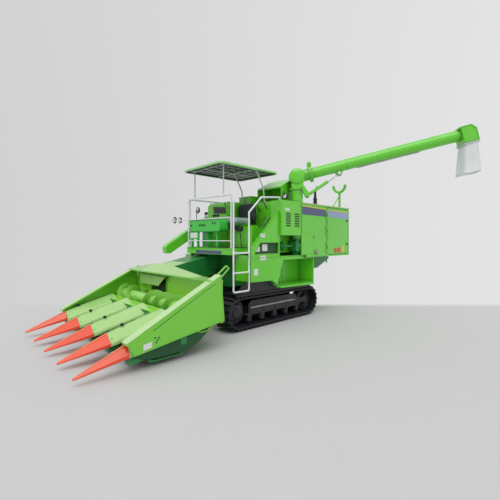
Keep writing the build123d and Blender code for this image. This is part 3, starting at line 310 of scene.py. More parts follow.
def circle(middle, side, other, radius, count, phase=0.0):
    """Points round a middle, in the plane of two unit vectors."""
    turns = [2 * pi * (i + phase) / count for i in range(count)]
    return [middle + side * (radius * cos(turn)) + other * (radius * sin(turn)) for turn in turns]


def corner_ring(half_x, half_y, radius, count=7):
    """Points round a rectangle with rounded corners, about its middle."""
    ring = []
    for sx, sy, start in ((1, 1, 0), (-1, 1, 1), (-1, -1, 2), (1, -1, 3)):
        for i in range(count):
            turn = pi / 2 * (start + i / (count - 1))
            ring.append((sx * (half_x - radius) + radius * cos(turn),
                sy * (half_y - radius) + radius * sin(turn)))
    return ring


class Shape:
    """The faces of one piece, in the machine's frame or in one of its own."""

    def __init__(self, matrix=None):
        self.matrix = matrix or Matrix.Identity(4)
        self.points = []
        self.faces = []

    def add(self, points, faces):
        first = len(self.points)
        self.points += [self.matrix @ Vector(p) for p in points]
        self.faces += [[first + i for i in face] for face in faces]

    def loft(self, rings, closed=False):
        """Faces between rings of equally many points."""
        count = len(rings[0])
        faces = []
        for k in range(len(rings) if closed else len(rings) - 1):
            a, b = k * count, (k + 1) % len(rings) * count
            faces += [(a + i, a + (i + 1) % count, b + (i + 1) % count, b + i) for i in range(count)]
        if not closed:
            last = (len(rings) - 1) * count
            faces += [tuple(range(count))[::-1], tuple(range(last, last + count))]
        self.add([p for ring in rings for p in ring], faces)

    def box(self, x, y, z):
        self.loft([[(x[0], y[0], h), (x[1], y[0], h), (x[1], y[1], h), (x[0], y[1], h)] for h in z])

    def prism(self, axis, outline, low, high):
        """An outline in the plane square to an axis; its points are (y, z), (x, z) or (x, y)."""
        def at(h, a, b):
            return {"x": (h, a, b), "y": (a, h, b), "z": (a, b, h)}[axis]
        self.loft([[at(h, a, b) for a, b in outline] for h in (low, high)])

    def lathe(self, start, direction, rings, count):
        """Rings of (distance along, radius) about an axis."""
        side, other = ring_axes(direction)
        along = Vector(direction).normalized()
        self.loft([circle(Vector(start) + along * h, side, other, r, count) for h, r in rings])

    def rod(self, start, end, radius):
        run = Vector(end) - Vector(start)
        self.lathe(start, run, ((0, radius), (run.length, radius)), 12)

    def pipe(self, path, radius, count):
        """A round tube along points; its section turns as little as it can."""
        path = [Vector(p) for p in path]
        side, other = ring_axes(path[1] - path[0])
        rings = []
        for i, p in enumerate(path):
            ahead = (path[min(i + 1, len(path) - 1)] - path[max(i - 1, 0)]).normalized()
            side = (side - ahead * side.dot(ahead)).normalized()
            other = ahead.cross(side)
            rings.append(circle(p, side, other, radius, count))
        self.loft(rings)

    def bolt(self, at, normal, size):
        """A hexagon head on its washer."""
        self.lathe(at, normal, ((-0.001, size * 1.25), (0.0022, size * 1.25)), 12)
        self.lathe(at, normal, ((0, size), (size * 0.55, size), (size * 0.75, size * 0.75)), 6)

    def bolts(self, xs, ys, zs, normal, size):
        """A bolt wherever the coordinates in the three lists meet."""
        for at in product(xs, ys, zs):
            self.bolt(at, normal, size)

    def bolt_ring(self, middle, normal, radius, count, size, phase=0.0):
        for at in circle(Vector(middle), *ring_axes(normal), radius, count, phase):
            self.bolt(at, normal, size)

    def make(self, name, material, body="chassis", slot=None, bevel=0.0, angle=32, replaces=(), segments=2):
        """The shape as a piece that rides on a body; a slot is looked up from its material if none is given,
        but not kept.
        """
        data = bpy.data.meshes.new(name)
        data.from_pydata([tuple(p) for p in self.points], [], self.faces)
        tidy = bmesh.new()
        tidy.from_mesh(data)
        bmesh.ops.recalc_face_normals(tidy, faces=tidy.faces)
        tidy.to_mesh(data)
        tidy.free()
        data.materials.append(material)
        shade_smooth(data)
        piece = new_object(name, data)
        if bevel:
            soften(piece, bevel, angle, segments)
        else:
            data.set_sharp_from_angle(angle=radians(angle))
        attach(piece, body)
        slot = slot or SLOTS[material.name]
        if replaces:
            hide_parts(*replaces)
        return piece


def soften(piece, width, angle=32, segments=2):
    """Rounds a piece's edges and shades its faces flat between them."""
    bevel = piece.modifiers.new("edges", "BEVEL")
    bevel.width = width
    bevel.segments = segments
    bevel.limit_method = "ANGLE"
    bevel.angle_limit = radians(angle)
    bevel.use_clamp_overlap = True
    flat = piece.modifiers.new("faces", "WEIGHTED_NORMAL")
    flat.keep_sharp = False
    flat.weight = 80


def dress(material, *names, bevel=0.0):
    """Gives CAD nodes their material and rounds their edges."""
    for name in names:
        node = NODES[name]
        for place in node.material_slots:
            place.material = material
        shade_smooth(node.data)
        weld = node.modifiers.new("weld", "WELD")
        weld.merge_threshold = WELD
        if bevel:
            soften(node, bevel)
        else:
            flat = node.modifiers.new("faces", "WEIGHTED_NORMAL")
            flat.keep_sharp = False


# Materials of the CAD nodes that keep their own shape
dress(GREEN, "side_shield_left", "side_shield_right", "operator_deck", "seat_box", "side_box", "grain_tank",
    "tank_hood", "louvre_housing", "rear_hood", "engine_door", bevel=0.004)
dress(GREEN, "auger_boom", "auger_tower", "auger_swivel", "auger_spout", "boom_cradle", bevel=0.002)
dress(GREEN, "drive_cover", bevel=0.003)
dress(CONSOLE_GREEN, "console", bevel=0.003)
dress(DARK_GREEN, "threshing_housing", "feeder_house", "straw_chute", "tower_gearbox", "fan_pulley",
    "row_beam", bevel=0.003)
dress(PALE_GREEN, "header_ends", bevel=0.003)
dress(WHITE, "handrails", "ladder")
dress(CANOPY_WHITE, "canopy_frame")
dress(BLACK, "chassis_rails", "cross_members", "cross_axles", "tow_hitch", "track_frames", "engine",
    bevel=0.003)
dress(BLACK, "track_wheels", "mirrors", "control_levers")
dress(GREEN, "boom_cylinder_barrel", "header_cylinder_barrel")
dress(CHROME, "boom_cylinder_rod", "header_cylinder_rod")
dress(OILED, "stalk_rolls")

# Tracks: a rubber belt round the wheels, with a bar lug every few centimetres
TRACK_X = 0.675
SPROCKET = Vector((-0.905, 0.305))
IDLER = Vector((1.0, 0.305))
BELT_R = 0.262
LUG_H = 0.041
RUN = IDLER.x - SPROCKET.x
ARC = pi * BELT_R
LOOP = 2 * (RUN + ARC)
LUG_COUNT = 60
BELT_HALF = 0.225
PLATE_X = 0.797


def on_loop(s, out=0.0):
    """A point (y, z) on the track's outside at a length along it, and its outward direction."""
    s %= LOOP
    if s < RUN:
        middle, turn = Vector((SPROCKET.x + s, SPROCKET.y)), -pi / 2
    elif s < RUN + ARC:
        middle, turn = IDLER, (s - RUN) / BELT_R - pi / 2
    elif s < 2 * RUN + ARC:
        middle, turn = Vector((IDLER.x - (s - RUN - ARC), IDLER.y)), pi / 2
    else:
        middle, turn = SPROCKET, (s - 2 * RUN - ARC) / BELT_R + pi / 2
    outward = Vector((cos(turn), sin(turn)))
    return middle + outward * (BELT_R + out), outward


def track(side, name):
    """The belt as one closed band, and its lugs as bars that taper to the belt's edges."""
    shape = Shape()
    flat = BELT_HALF - 0.008
    band = ((-BELT_HALF, -0.006), (-flat, 0), (flat, 0), (BELT_HALF, -0.006), (BELT_HALF, -0.03),
        (-BELT_HALF, -0.03))
    turns = [i / 16 for i in range(17)]
    stops = [RUN + ARC * t for t in turns] + [2 * RUN + ARC * (1 + t) for t in turns]
    rings = []
    for s in stops:
        ring = []
        for offset, out in band:
            (y, z), outward = on_loop(s - 1e-6, out)
            ring.append((side * TRACK_X + offset, y, z))
        rings.append(ring)
    shape.loft(rings, closed=True)
    for i in range(LUG_COUNT):
        (y, z), outward = on_loop((i + 0.5) * LOOP / LUG_COUNT)
        forward = Vector((-outward.y, outward.x))
        rings = []
        for offset, rise in ((0.002 - BELT_HALF, 0.45), (0.03 - BELT_HALF, 1), (BELT_HALF - 0.03, 1),
                (BELT_HALF - 0.002, 0.45)):
            ring = []
            for ahead, out in ((-0.023, -0.003), (-0.013, LUG_H * rise), (0.013, LUG_H * rise),
                    (0.023, -0.003)):
                ring.append((side * TRACK_X + offset, y + forward.x * ahead + outward.x * out,
                    z + forward.y * ahead + outward.y * out))
            rings.append(ring)
        shape.loft(rings)
    shape.make(name + "_lugged", RUBBER, replaces=[name], angle=40)


track(1, "track_left")
track(-1, "track_right")

for side, tag in ((1, "left"), (-1, "right")):
    plates = Shape()
    low, high = side * 0.79, side * PLATE_X
    plates.prism("x", ((-0.63, 0.25), (-0.58, 0.222), (0.66, 0.222), (0.7, 0.26), (0.7, 0.43),
        (0.64, 0.475), (-0.56, 0.475), (-0.63, 0.43)), low, high)
    low, high = side * PLATE_X, side * 0.803
    for start in (-0.56, -0.25, 0.06, 0.37):
        plates.box((low, high), (start, start + 0.28), (0.24, 0.325))
    plates.bolts([side * PLATE_X], (-0.59, -0.265, 0.045, 0.355, 0.67), (0.252, 0.45), X * side, 0.01)
    low, high = side * 0.75, side * 0.792
    for y in (-0.42, 0.23, 0.56):
        plates.box((low, high), (y - 0.03, y + 0.03), (0.27, 0.4))
    plates.make("track_plates_" + tag, BLACK, bevel=0.002)
    rail = Shape()
    low, high = side * PLATE_X, side * 0.815
    rail.prism("x", ((-0.6, 0.345), (-0.57, 0.338), (0.62, 0.338), (0.65, 0.352), (0.62, 0.372),
        (-0.57, 0.372)), low, high)
    rail.make("track_rail_" + tag, STEEL, bevel=0.003)
    hubs = Shape()
    hubs.lathe((side * 0.705, *IDLER), X * side, ((-0.02, 0.186), (0.01, 0.184), (0.02, 0.16),
        (0.008, 0.14), (0.012, 0.115), (0.05, 0.098), (0.078, 0.088), (0.086, 0.07), (0.086, 0.03),
        (0.08, 0.008)), 28)
    hubs.lathe((side * 0.785, *SPROCKET), X * side, ((-0.05, 0.13), (-0.045, 0.15), (-0.015, 0.14),
        (0, 0.09), (0.014, 0.085), (0.016, 0.03), (0.012, 0.008)), 28)
    hubs.bolt_ring((side * 0.724, *IDLER), X * side, 0.15, 10, 0.01, 0.5)
    hubs.bolt_ring((side * 0.768, *SPROCKET), X * side, 0.118, 10, 0.01, 0.5)
    hubs.make("track_hubs_" + tag, BLACK, bevel=0.0015)

# Header: gathering chains with their fingers, two loops to a row
ROW = 0.617
CHAIN_SLOPE = radians(10.5)
chains = Shape()
for row in (-1.5, -0.5, 0.5, 1.5):
    for side in (-1, 1):
        place = Matrix.Translation((row * ROW + side * 0.042, -2.64, 0.285))
        chains.matrix = place @ Matrix.Rotation(CHAIN_SLOPE, 4, "X")
        rings = []
        for ahead, aside in ((0.28, -0.018), (0.298, 0), (0.28, 0.018), (-0.28, 0.018), (-0.298, 0),
                (-0.28, -0.018)):
            inner = (ahead - (0.008 if ahead > 0.29 else -0.008 if ahead < -0.29 else 0), aside * 0.56)
            rings.append([(inner[1], inner[0], 0.002), (aside, ahead, 0.002), (aside, ahead, 0.014),
                (inner[1], inner[0], 0.014)])
        chains.loft(rings, closed=True)
        for k in range(5):
            low, high = sorted((side * 0.017, side * 0.028))
            at = 0.112 * (k - 2)
            chains.prism("z", ((low, at - 0.008), (high, at - 0.004), (high, at + 0.004),
                (low, at + 0.008)), 0.003, 0.013)
chains.make("row_chains", OILED, "header", replaces=["gathering_chains"])

# Ridges between the rows: low-pitched hoods of pressed sheet and moulded snouts before them
DIVIDERS = [ROW * k for k in (-2, -1, 0, 1, 2)]
HEADER_HALF = 1.328
SNOUT_TIP = (-3.58, 0.096, 0.08, 0.07, 0.014)
RIDGE_FRONT = (-3.004, 0.339, 0.235, 0.19, 0.16)
RIDGE_REAR = (-2.205, 0.545, 0.47, 0.375, 0.302)


def ridge_ring(x, y, crest, shoulder, foot, wide):
    """One section of a ridge, cut off where it meets an end plate."""
    drop = (crest - shoulder) / wide
    right, left = min(wide, x + HEADER_HALF), min(wide, HEADER_HALF - x)
    top = min(0.012, wide * 0.5)
    fold = min(0.02, (shoulder - foot) * 0.45)
    return [(x - right, y, foot), (x - right, y, crest - drop * right - fold),
        (x - right + fold * 0.6, y, crest - drop * (right - fold * 0.6)),
        (x - top, y, crest - drop * top * 0.6), (x + top, y, crest - drop * top * 0.6),
        (x + left - fold * 0.6, y, crest - drop * (left - fold * 0.6)),
        (x + left, y, crest - drop * left - fold), (x + left, y, foot)]


def between(a, b, share):
    """A ridge section's sizes part of the way from one to another."""
    return [p + (q - p) * share for p, q in zip(a, b)]


def snout_ring(x, y, crest, shoulder, foot, wide):
    """One section of a snout: two flat roofs with a sharp crest, and upright sides."""
    return [(x - wide, y, foot), (x - wide, y, shoulder), (x, y, crest), (x + wide, y, shoulder),
        (x + wide, y, foot)]


hoods = Shape()
snouts = Shape()
carriers = Shape()
for x in DIVIDERS:
    hoods.loft([ridge_ring(x, *between(RIDGE_FRONT, RIDGE_REAR, share)) for share in (0, 0.5, 1)])
    reach = min(RIDGE_FRONT[4], HEADER_HALF - abs(x))
    snouts.loft([snout_ring(x, *between(SNOUT_TIP, RIDGE_FRONT[:4] + (reach,),
        share)) for share in (0, 0.9993)])
    carriers.loft([[(x - 0.06, y, low), (x + 0.06, y, low), (x + 0.06, y, top),
        (x - 0.06, y, top)] for y, low, top in ((-3.0, 0.14, 0.195), (-2.32, 0.21, 0.24))])
hoods.make("ridge_hoods", SHEEN_HOOD_GREEN, "header", bevel=0.004, angle=20, replaces=["row_hoods"], segments=3)
snouts.make("ridge_snouts", ORANGE, "header", bevel=0.004, angle=20, replaces=["row_snouts"])
carriers.box((-HEADER_HALF, HEADER_HALF), (-2.318, -2.306), (0.298, 0.482))
carriers.make("ridge_carriers", DARK_GREEN, "header", bevel=0.002)

# Top cover: straight along its front edge, arched over the feeder along its rear edge, on the same trough
COVER = ((-HEADER_HALF, 1.01), (-0.75, 1.11), (-0.2, 1.12), (0.83, 0.99), (HEADER_HALF, 0.975))
WALL_CUT = 0.955
trough = NODES["header_frame"].data.copy()
cut = bmesh.new()
cut.from_mesh(trough)
bmesh.ops.remove_doubles(cut, verts=cut.verts, dist=WELD)
whole = list(cut.verts) + list(cut.edges) + list(cut.faces)
edge = bmesh.ops.bisect_plane(cut, geom=whole, dist=0.00001, plane_co=(0, 0, WALL_CUT),
    plane_no=Z, clear_outer=True)["geom_cut"]
bmesh.ops.holes_fill(cut, edges=[e for e in edge if isinstance(e, bmesh.types.BMEdge)])
cut.to_mesh(trough)
cut.free()
trough.materials.clear()
trough.materials.append(LIT_TROUGH_GREEN)
piece = new_object("header_trough", trough)
shade_smooth(trough)
soften(piece, 0.003)
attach(piece, "header")
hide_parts("header_frame")
cover = Shape()
cover.loft([[(x, -1.86, 0.985), (x, -1.64, z), (x, -1.634, z - 0.001), (x, -1.634, z - 0.014),
    (x, -1.64, z - 0.015), (x, -1.86, 0.97)] for x, z in COVER])
for (x0, z0), (x1, z1) in zip(COVER, COVER[1:]):
    cover.loft([[(x, -1.67, WALL_CUT - 0.002), (x, -1.6405, WALL_CUT - 0.002), (x, -1.6405, z - 0.008),
        (x, -1.67, z - 0.03)] for x, z in ((x0, z0), (x1, z1))])
cover.make("header_cover", SHEEN_COVER_GREEN, "header", bevel=0.003, angle=12)

# A rubber stop on each ridge, small bolts at the snouts' joints, a bead along the crest
knobs = Shape()
joints = Shape()
crests = Shape()
edges = Shape()
for x in DIVIDERS:
    knobs.lathe((x, -2.8, 0.398), Z, ((0, 0.0228), (0.02, 0.0232), (0.026, 0.021), (0.03, 0.012),
        (0.031, 0.002)), 16)
    joints.bolt((x, -2.985, 0.347), (0, -0.28, 1), 0.008)
    for side in (-1, 1):
        if abs(x + side * 0.12) < 1.32:
            joints.bolt((x + side * 0.11, -2.975, 0.277), (side * 0.6, -0.1, 0.8), 0.007)
    crests.loft([[(x - w, y, z - 0.004), (x + w, y, z - 0.004), (x + w * 0.5, y, z + 0.003),
        (x - w * 0.5, y, z + 0.003)] for y, z, w in ((-2.98, 0.345, 0.005), (-2.21, 0.5437, 0.006))])
    # A lighter strip along each snout's crest: painted highlight.
    edges.loft([[(x - w, y, z - 0.006), (x + w, y, z - 0.006), (x + w * 0.4, y, z + 0.003),
        (x - w * 0.4, y, z + 0.003)] for y, z, w in ((-3.575, 0.098, 0.006), (-3.006, 0.338, 0.017))])
knobs.make("ridge_knobs", PLASTIC, "header")
joints.make("snout_joint_bolts", BLACK, "header")
crests.make("ridge_beads", SHEEN_HOOD_GREEN, "header", bevel=0.001)
edges.make("snout_edges", HIGHLIGHT_SNOUT_ORANGE, "header", bevel=0.001)

# Cross auger: its tube, two flights that wind opposite ways towards the feeder, and retracting fingers
low, high = Vector(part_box("header_auger")[0]), Vector(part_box("header_auger")[1])
AUGER_AXIS = (low + high) / 2
AUGER_R = (high.z - low.z) / 2 - 0.001
TUBE_R = 0.098
FLIGHT_PITCH = 0.33
FLIGHT_STEPS = 30
auger = Shape()
auger.lathe((low.x + 0.001, AUGER_AXIS.y, AUGER_AXIS.z), X, ((0, 0.06), (0.004, TUBE_R),
    (high.x - low.x - 0.006, TUBE_R), (high.x - low.x - 0.002, 0.06)), 48)
for start, length, hand in ((-1.3, 0.7, 1), (-0.3, 1.59, -1)):
    count = round(FLIGHT_STEPS * length / FLIGHT_PITCH)
    rings = []
    for i in range(count + 1):
        turn = hand * 2 * pi * i / FLIGHT_STEPS
        x = start + length * i / count
        rings.append([(x + side, AUGER_AXIS.y + r * cos(turn), AUGER_AXIS.z + r * sin(turn)) for side,
            r in ((-0.004, TUBE_R - 0.003), (-0.0025, AUGER_R), (0.0025, AUGER_R),
            (0.004, TUBE_R - 0.003))])
    auger.loft(rings)
for i in range(4):
    turn = pi / 2 * i
    x = -0.6 + 0.085 * i
    ahead = Vector((0, cos(turn), sin(turn)))
    root = Vector((x, AUGER_AXIS.y, AUGER_AXIS.z)) + ahead * TUBE_R
    auger.lathe(root - ahead * 0.004, ahead, ((0, 0.022), (0.01, 0.02), (0.012, 0.01)), 16)
    auger.rod(root, root + ahead * (AUGER_R - TUBE_R - 0.002), 0.008)
auger.make("auger_flighting", FLIGHT_GREEN, "cross_auger", bevel=0.0008, replaces=["header_auger"])

# Folded rims on the end plates' sloping tops, pale with a painted highlight
rims = Shape()
for side in (1, -1):
    a, b = side * 1.222, side * 1.362
    rims.prism("x", ((-1.692, 1.0505), (-3.048, 0.3685), (-3.052, 0.3625), (-3.056, 0.366),
        (-3.051, 0.3735), (-1.69, 1.0545)), a, b)
rims.make("end_plate_rims", HIGHLIGHT_RIM_GREEN, "header", bevel=0.001)

# End plates: a pressed seam, rims below and behind, a bare plate and their bolts
ends = Shape()
hole_shades = Shape()
blanks = Shape()
lines = Shape()
for side in (1, -1):
    a, b = side * 1.3595, side * 1.3615
    lines.prism("x", ((-2.73, 0.455), (-1.97, 0.85), (-1.785, 0.935), (-1.785, 0.941), (-1.972, 0.856),
        (-2.736, 0.46)), a, b)
    a, b = side * 1.332, side * 1.364
    ends.prism("x", ((-1.63, 0.4), (-2.965, 0.205), (-2.965, 0.212), (-1.63, 0.41)), a, b)
    ends.prism("x", ((-1.694, 1.045), (-1.634, 0.4), (-1.642, 0.4), (-1.702, 1.045)), a, b)
    # Black discs where the holes are: painted shade inside them.
    for y, z in ((-2.705, 0.37), (-2.672, 0.338), (-2.69, 0.312), (-2.655, 0.365)):
        hole_shades.lathe((side * 1.36, y, z), X * side, ((0, 0.011), (0.0015, 0.0105)), 14)
    for y, z in ((-1.74, 0.98), (-1.72, 0.72), (-1.7, 0.5), (-1.8, 0.41), (-2.2, 0.35), (-2.5, 0.305)):
        ends.bolt((side * 1.361, y, z), X * side, 0.008)
    a, b = side * 1.3605, side * 1.3635
    if side == 1:
        blanks.prism("x", ((-2.855, 0.247), (-2.745, 0.264), (-2.745, 0.336), (-2.855, 0.319)), a, b)
ends.make("end_plate_folds", PALE_GREEN, "header", bevel=0.001)
lines.make("end_plate_seams", UNDER_GREEN, "header")
hole_shades.make("end_plate_hole_shades", INK, "header")
blanks.make("end_plate_blank", LABEL, "header", bevel=0.0008)

# Belly pans under the outer rows, and the rods that brace the header's back at the left
belly = Shape()
for side in (1, -1):
    a, b = sorted((side * 0.95, side * 1.325))
    rings = []
    for y, top, low in ((-2.93, 0.2, 0.16), (-2.8, 0.215, 0.1), (-2.55, 0.25, 0.085), (-2.25, 0.29, 0.09),
            (-2.05, 0.32, 0.15), (-1.9, 0.345, 0.26)):
        rings.append([(a, y, top), (a, y, low + 0.03), (a + 0.04, y, low), (b - 0.04, y, low),
            (b, y, low + 0.03), (b, y, top), (b - 0.006, y, top), (b - 0.006, y, low + 0.034),
            (b - 0.042, y, low + 0.006), (a + 0.042, y, low + 0.006), (a + 0.006, y, low + 0.034),
            (a + 0.006, y, top)])
    belly.loft(rings)
belly.make("belly_pans", UNDER_GREEN, "header", bevel=0.002)
braces = Shape()
for (y0, z0), (y1, z1) in (((-1.66, 1.02), (-1.47, 1.16)), ((-1.62, 0.95), (-1.42, 1.12))):
    braces.rod((1.2, y0, z0), (1.2, y1, z1), 0.012)
braces.box((1.17, 1.23), (-1.64, -1.61), (0.9, 1.0))
braces.rod((1.2, -1.47, 1.16), (1.2, -1.42, 1.12), 0.012)
braces.make("header_braces", PALE_GREEN, "header", bevel=0.001)

# Deflector hung under the top cover, a folded lip on the cover's front edge, and the feed opening's frame
deflector = Shape()
deflector.loft([[(x, y, z) for x, z in ((-1.07, 0.73), (-0.355, 0.73), (-0.11, 0.9),
    (-1.03, 0.9))] for y in (-1.752, -1.748)])
deflector.prism("x", ((-1.75, 0.9), (-1.75, 0.896), (-1.7, 0.93), (-1.672, 0.93), (-1.672, 0.935),
    (-1.7, 0.935)), -1.03, -0.11)
deflector.bolts((-0.98, -0.6, -0.2), [-1.753], [0.882], -Y, 0.008)
deflector.make("stalk_deflector", SHEEN_COVER_GREEN, "header", bevel=0.0015)
lip = Shape()
lip.box((-1.33, 1.33), (-1.866, -1.858), (0.962, 0.987))
lip.make("cover_lip", PALE_GREEN, "header", bevel=0.002)
mouth = Shape()
for x0, x1, z0, z1 in ((-0.76, -0.73, 0.43, 0.87), (-0.2, -0.17, 0.43, 0.87), (-0.73, -0.2, 0.85, 0.87)):
    mouth.box((x0, x1), (-1.682, -1.668), (z0, z1))
mouth.bolts((-0.745, -0.185), [-1.682], (0.5, 0.62, 0.74, 0.86), -Y, 0.008)
mouth.make("feed_opening_frame", PALE_GREEN, "header", bevel=0.0015)
dark = Shape()
dark.box((-0.735, -0.195), (-1.655, -1.645), (0.452, 0.848))
for k in range(5):
    z = 0.49 + 0.075 * k
    dark.box((-0.7, -0.23), (-1.665, -1.655), (z, z + 0.03))
dark.make("feeder_slats", OILED, "header", bevel=0.002)

# Stiffeners behind the back wall, and the feeder's top sheet, pale with painted sheen, with its seam
stiff = Shape()
for x in (-1.15, -0.95, 0.05, 0.45, 0.85, 1.2):
    stiff.box((x - 0.02, x + 0.02), (-1.64, -1.605), (0.38, 0.95))
stiff.box((-1.3, -0.8), (-1.64, -1.59), (0.36, 0.4))
stiff.box((-0.13, 1.3), (-1.64, -1.59), (0.36, 0.4))
stiff.make("header_ribs", PALE_GREEN, "header", bevel=0.002)
FEEDER_SLOPE = 0.2097
sheet = Shape()
sheet.prism("x", ((-1.636, 1.0512), (-0.86, 1.214), (-0.86, 1.2165), (-1.636, 1.0537)), -0.748, -0.182)
for x in (-0.745, -0.195):
    sheet.prism("x", ((-1.636, 1.053), (-0.86, 1.2158), (-0.86, 1.222), (-1.636, 1.0592)), x, x + 0.01)
for y in (-1.58, -1.3, -1.02):
    sheet.bolts((-0.71, -0.22), [y], [1.0535 + FEEDER_SLOPE * (y + 1.636)], (0, -FEEDER_SLOPE, 1), 0.007)
sheet.make("feeder_top_sheet", SHEEN_COVER_GREEN, "header", bevel=0.001)

# Unloading auger: a broad round elbow, flanges and seams along the boom, and its underside strip
AUGER_FOOT = (0.93, 0.555)
ELBOW = (*AUGER_FOOT, 2.78)
BOOM_TURN = radians(37.8)
BOOM_DROP = radians(13)
TURN = Matrix.Rotation(BOOM_TURN, 4, "Z")
BOOM = Matrix.Translation(ELBOW) @ TURN @ Matrix.Rotation(-BOOM_DROP, 4, "Y")
elbow = Shape(BOOM)
elbow.lathe((0, 0, 0), Y, ((-0.1185, 0.1), (-0.115, 0.128), (-0.098, 0.15), (-0.06, 0.163), (0.0, 0.167),
    (0.06, 0.163), (0.098, 0.15), (0.115, 0.128), (0.1185, 0.1)), 40)
elbow.lathe((0, 0, 0), X, ((0.05, 0.112), (0.13, 0.1155), (0.22, 0.1155), (0.235, 0.122), (0.25, 0.122)),
    32)
elbow.make("elbow_dome", GREEN, "boom", bevel=0.001)
covers = Shape(Matrix.Translation(ELBOW) @ TURN)
for side in (1, -1):
    covers.lathe((0, side * 0.1342, 0), Y * side, ((0, 0.152), (0.01, 0.15), (0.024, 0.132), (0.034, 0.1),
        (0.04, 0.06), (0.042, 0.02), (0.0425, 0.002)), 40)
    covers.bolt_ring((0, side * 0.146, 0), Y * side, 0.139, 8, 0.008, 0.5)
covers.make("elbow_covers", GREEN, "swivel", bevel=0.001)
flange = Shape(BOOM)
flange.lathe((0.238, 0, 0), X, ((0, 0.1648), (0.02, 0.1648), (0.021, 0.156), (0.037, 0.156),
    (0.038, 0.1648), (0.058, 0.1648)), 36)
flange.bolt_ring((0.238, 0, 0), -X, 0.148, 12, 0.01)
flange.bolt_ring((0.296, 0, 0), X, 0.148, 12, 0.01)
# The hinge that stands up from the flange pair
for y in (-0.06, 0.06):
    flange.prism("y", ((0.235, 0.15), (0.32, 0.15), (0.32, 0.19), (0.295, 0.225), (0.26, 0.225),
        (0.235, 0.19)), y - 0.008, y + 0.008)
flange.rod((0.277, -0.085, 0.2), (0.277, 0.085, 0.2), 0.013)
flange.make("boom_flanges", GREEN, "boom", bevel=0.001)
seam = Shape(BOOM)
for x in (0.95, 1.75, 2.55):
    seam.lathe((x, 0, 0), X, ((0, 0.106), (0.004, 0.1085), (0.03, 0.1085), (0.034, 0.106)), 32)
seam.box((3.0, 3.05), (-0.12, 0.12), (0.095, 0.125))
seam.make("boom_bands", GREEN, "boom", bevel=0.0015)
strip = Shape(BOOM)
strip.box((1.15, 2.3), (-0.03, 0.03), (-0.114, -0.1))
strip.bolts((1.2, 1.725, 2.25), [0], [-0.114], -Z, 0.008)
strip.make("boom_strip", STEEL, "boom", bevel=0.001)
swivel = Shape()
swivel.lathe((*AUGER_FOOT, 2.6), Z, ((-0.03, 0.118), (0.0, 0.121), (0.03, 0.127), (0.045, 0.13)), 32)
swivel.bolt_ring((*AUGER_FOOT, 2.565), Z, 0.13, 12, 0.009)
swivel.make("swivel_bolts", GREEN, "swivel", bevel=0.001)
tower = Shape()
tower.bolt_ring((*AUGER_FOOT, 2.525), -Z, 0.13, 12, 0.009, 0.5)
for z in (2.3, 2.44):
    tower.lathe((*AUGER_FOOT, z), Z, ((0, 0.1155), (0.003, 0.1185), (0.022, 0.1185), (0.025, 0.1155)), 32)
tower.make("tower_bands", GREEN, bevel=0.001)
spout = Shape(BOOM)
for y in (-0.151, 0.151):
    spout.prism("y", ((3.02, 0.125), (3.2, 0.125), (3.27, 0.04), (3.27, -0.175), (3.255, -0.175),
        (3.255, 0.035), (3.193, 0.11), (3.035, 0.11), (3.035, -0.175), (3.02, -0.175)), y, y * 1.04)
spout.box((3.012, 3.276), (-0.157, 0.157), (-0.179, -0.16))
spout.make("spout_flanges", GREEN, "boom", bevel=0.001)

# Canopy: one moulded shell, crowned, with a drooping rim that turns in under its edge
CANOPY_MIDDLE = (-0.04, -0.315)
CANOPY_HALF = (0.6, 0.755)
CANOPY_CORNER = 0.1


def rounded(inset, z):
    """A ring round the canopy, some way in from its edge."""
    corner = max(0.02, CANOPY_CORNER - inset * 0.3)
    ring = corner_ring(CANOPY_HALF[0] - inset, CANOPY_HALF[1] - inset, corner, 8)
    return [(CANOPY_MIDDLE[0] + x, CANOPY_MIDDLE[1] + y, z) for x, y in ring]


roof = Shape()
roof.loft([rounded(d, z) for d, z in ((0.5, 2.9598), (0.4, 2.9585), (0.28, 2.954), (0.17, 2.946),
    (0.09, 2.936), (0.035, 2.925), (0.01, 2.914), (0.001, 2.9), (0.0, 2.882), (0.003, 2.875),
    (0.012, 2.873), (0.02, 2.877), (0.024, 2.885), (0.026, 2.906), (0.036, 2.912), (0.5, 2.916))])
roof.make("canopy_shell", CANOPY_GREEN, replaces=["canopy_roof"], angle=50)
lining = Shape()
lining.loft([rounded(d, z) for d, z in ((0.0255, 2.878), (0.0255, 2.907), (0.045, 2.9115), (0.5, 2.9125),
    (0.5, 2.909), (0.048, 2.908), (0.034, 2.903), (0.029, 2.878))], closed=True)
for x in (-0.5, -0.33, -0.03, 0.14, 0.31, 0.42):
    lining.prism("y", ((x - 0.02, 2.9105), (x - 0.012, 2.898), (x + 0.012, 2.898), (x + 0.02, 2.9105)),
        -0.98, 0.36)
for y in (-0.72, -0.46, 0.02, 0.24):
    lining.prism("x", ((y - 0.016, 2.9105), (y - 0.01, 2.902), (y + 0.01, 2.902), (y + 0.016, 2.9105)),
        -0.56, 0.48)
lining.make("canopy_lining", UNDERSIDE, angle=40)
brackets = Shape()
for x in (-0.46, 0.43):
    brackets.box((x - 0.03, x + 0.03), (-0.93, -0.87), (2.884, 2.9005))
    brackets.bolts([x + 0.018], (-0.92, -0.88), [2.884], -Z, 0.007)
for foot in (-0.12, 0.505):
    brackets.box((foot - 0.022, foot + 0.022), (-0.24, -0.16), (2.88, 2.885))
    brackets.box((foot - 0.035, foot + 0.035), (0.061, 0.085), (2.285, 2.297))
    for s in (-0.026, 0.026):
        brackets.bolt((foot + s, 0.073, 2.297), Z, 0.006)
brackets.make("canopy_brackets", CANOPY_WHITE, bevel=0.001)

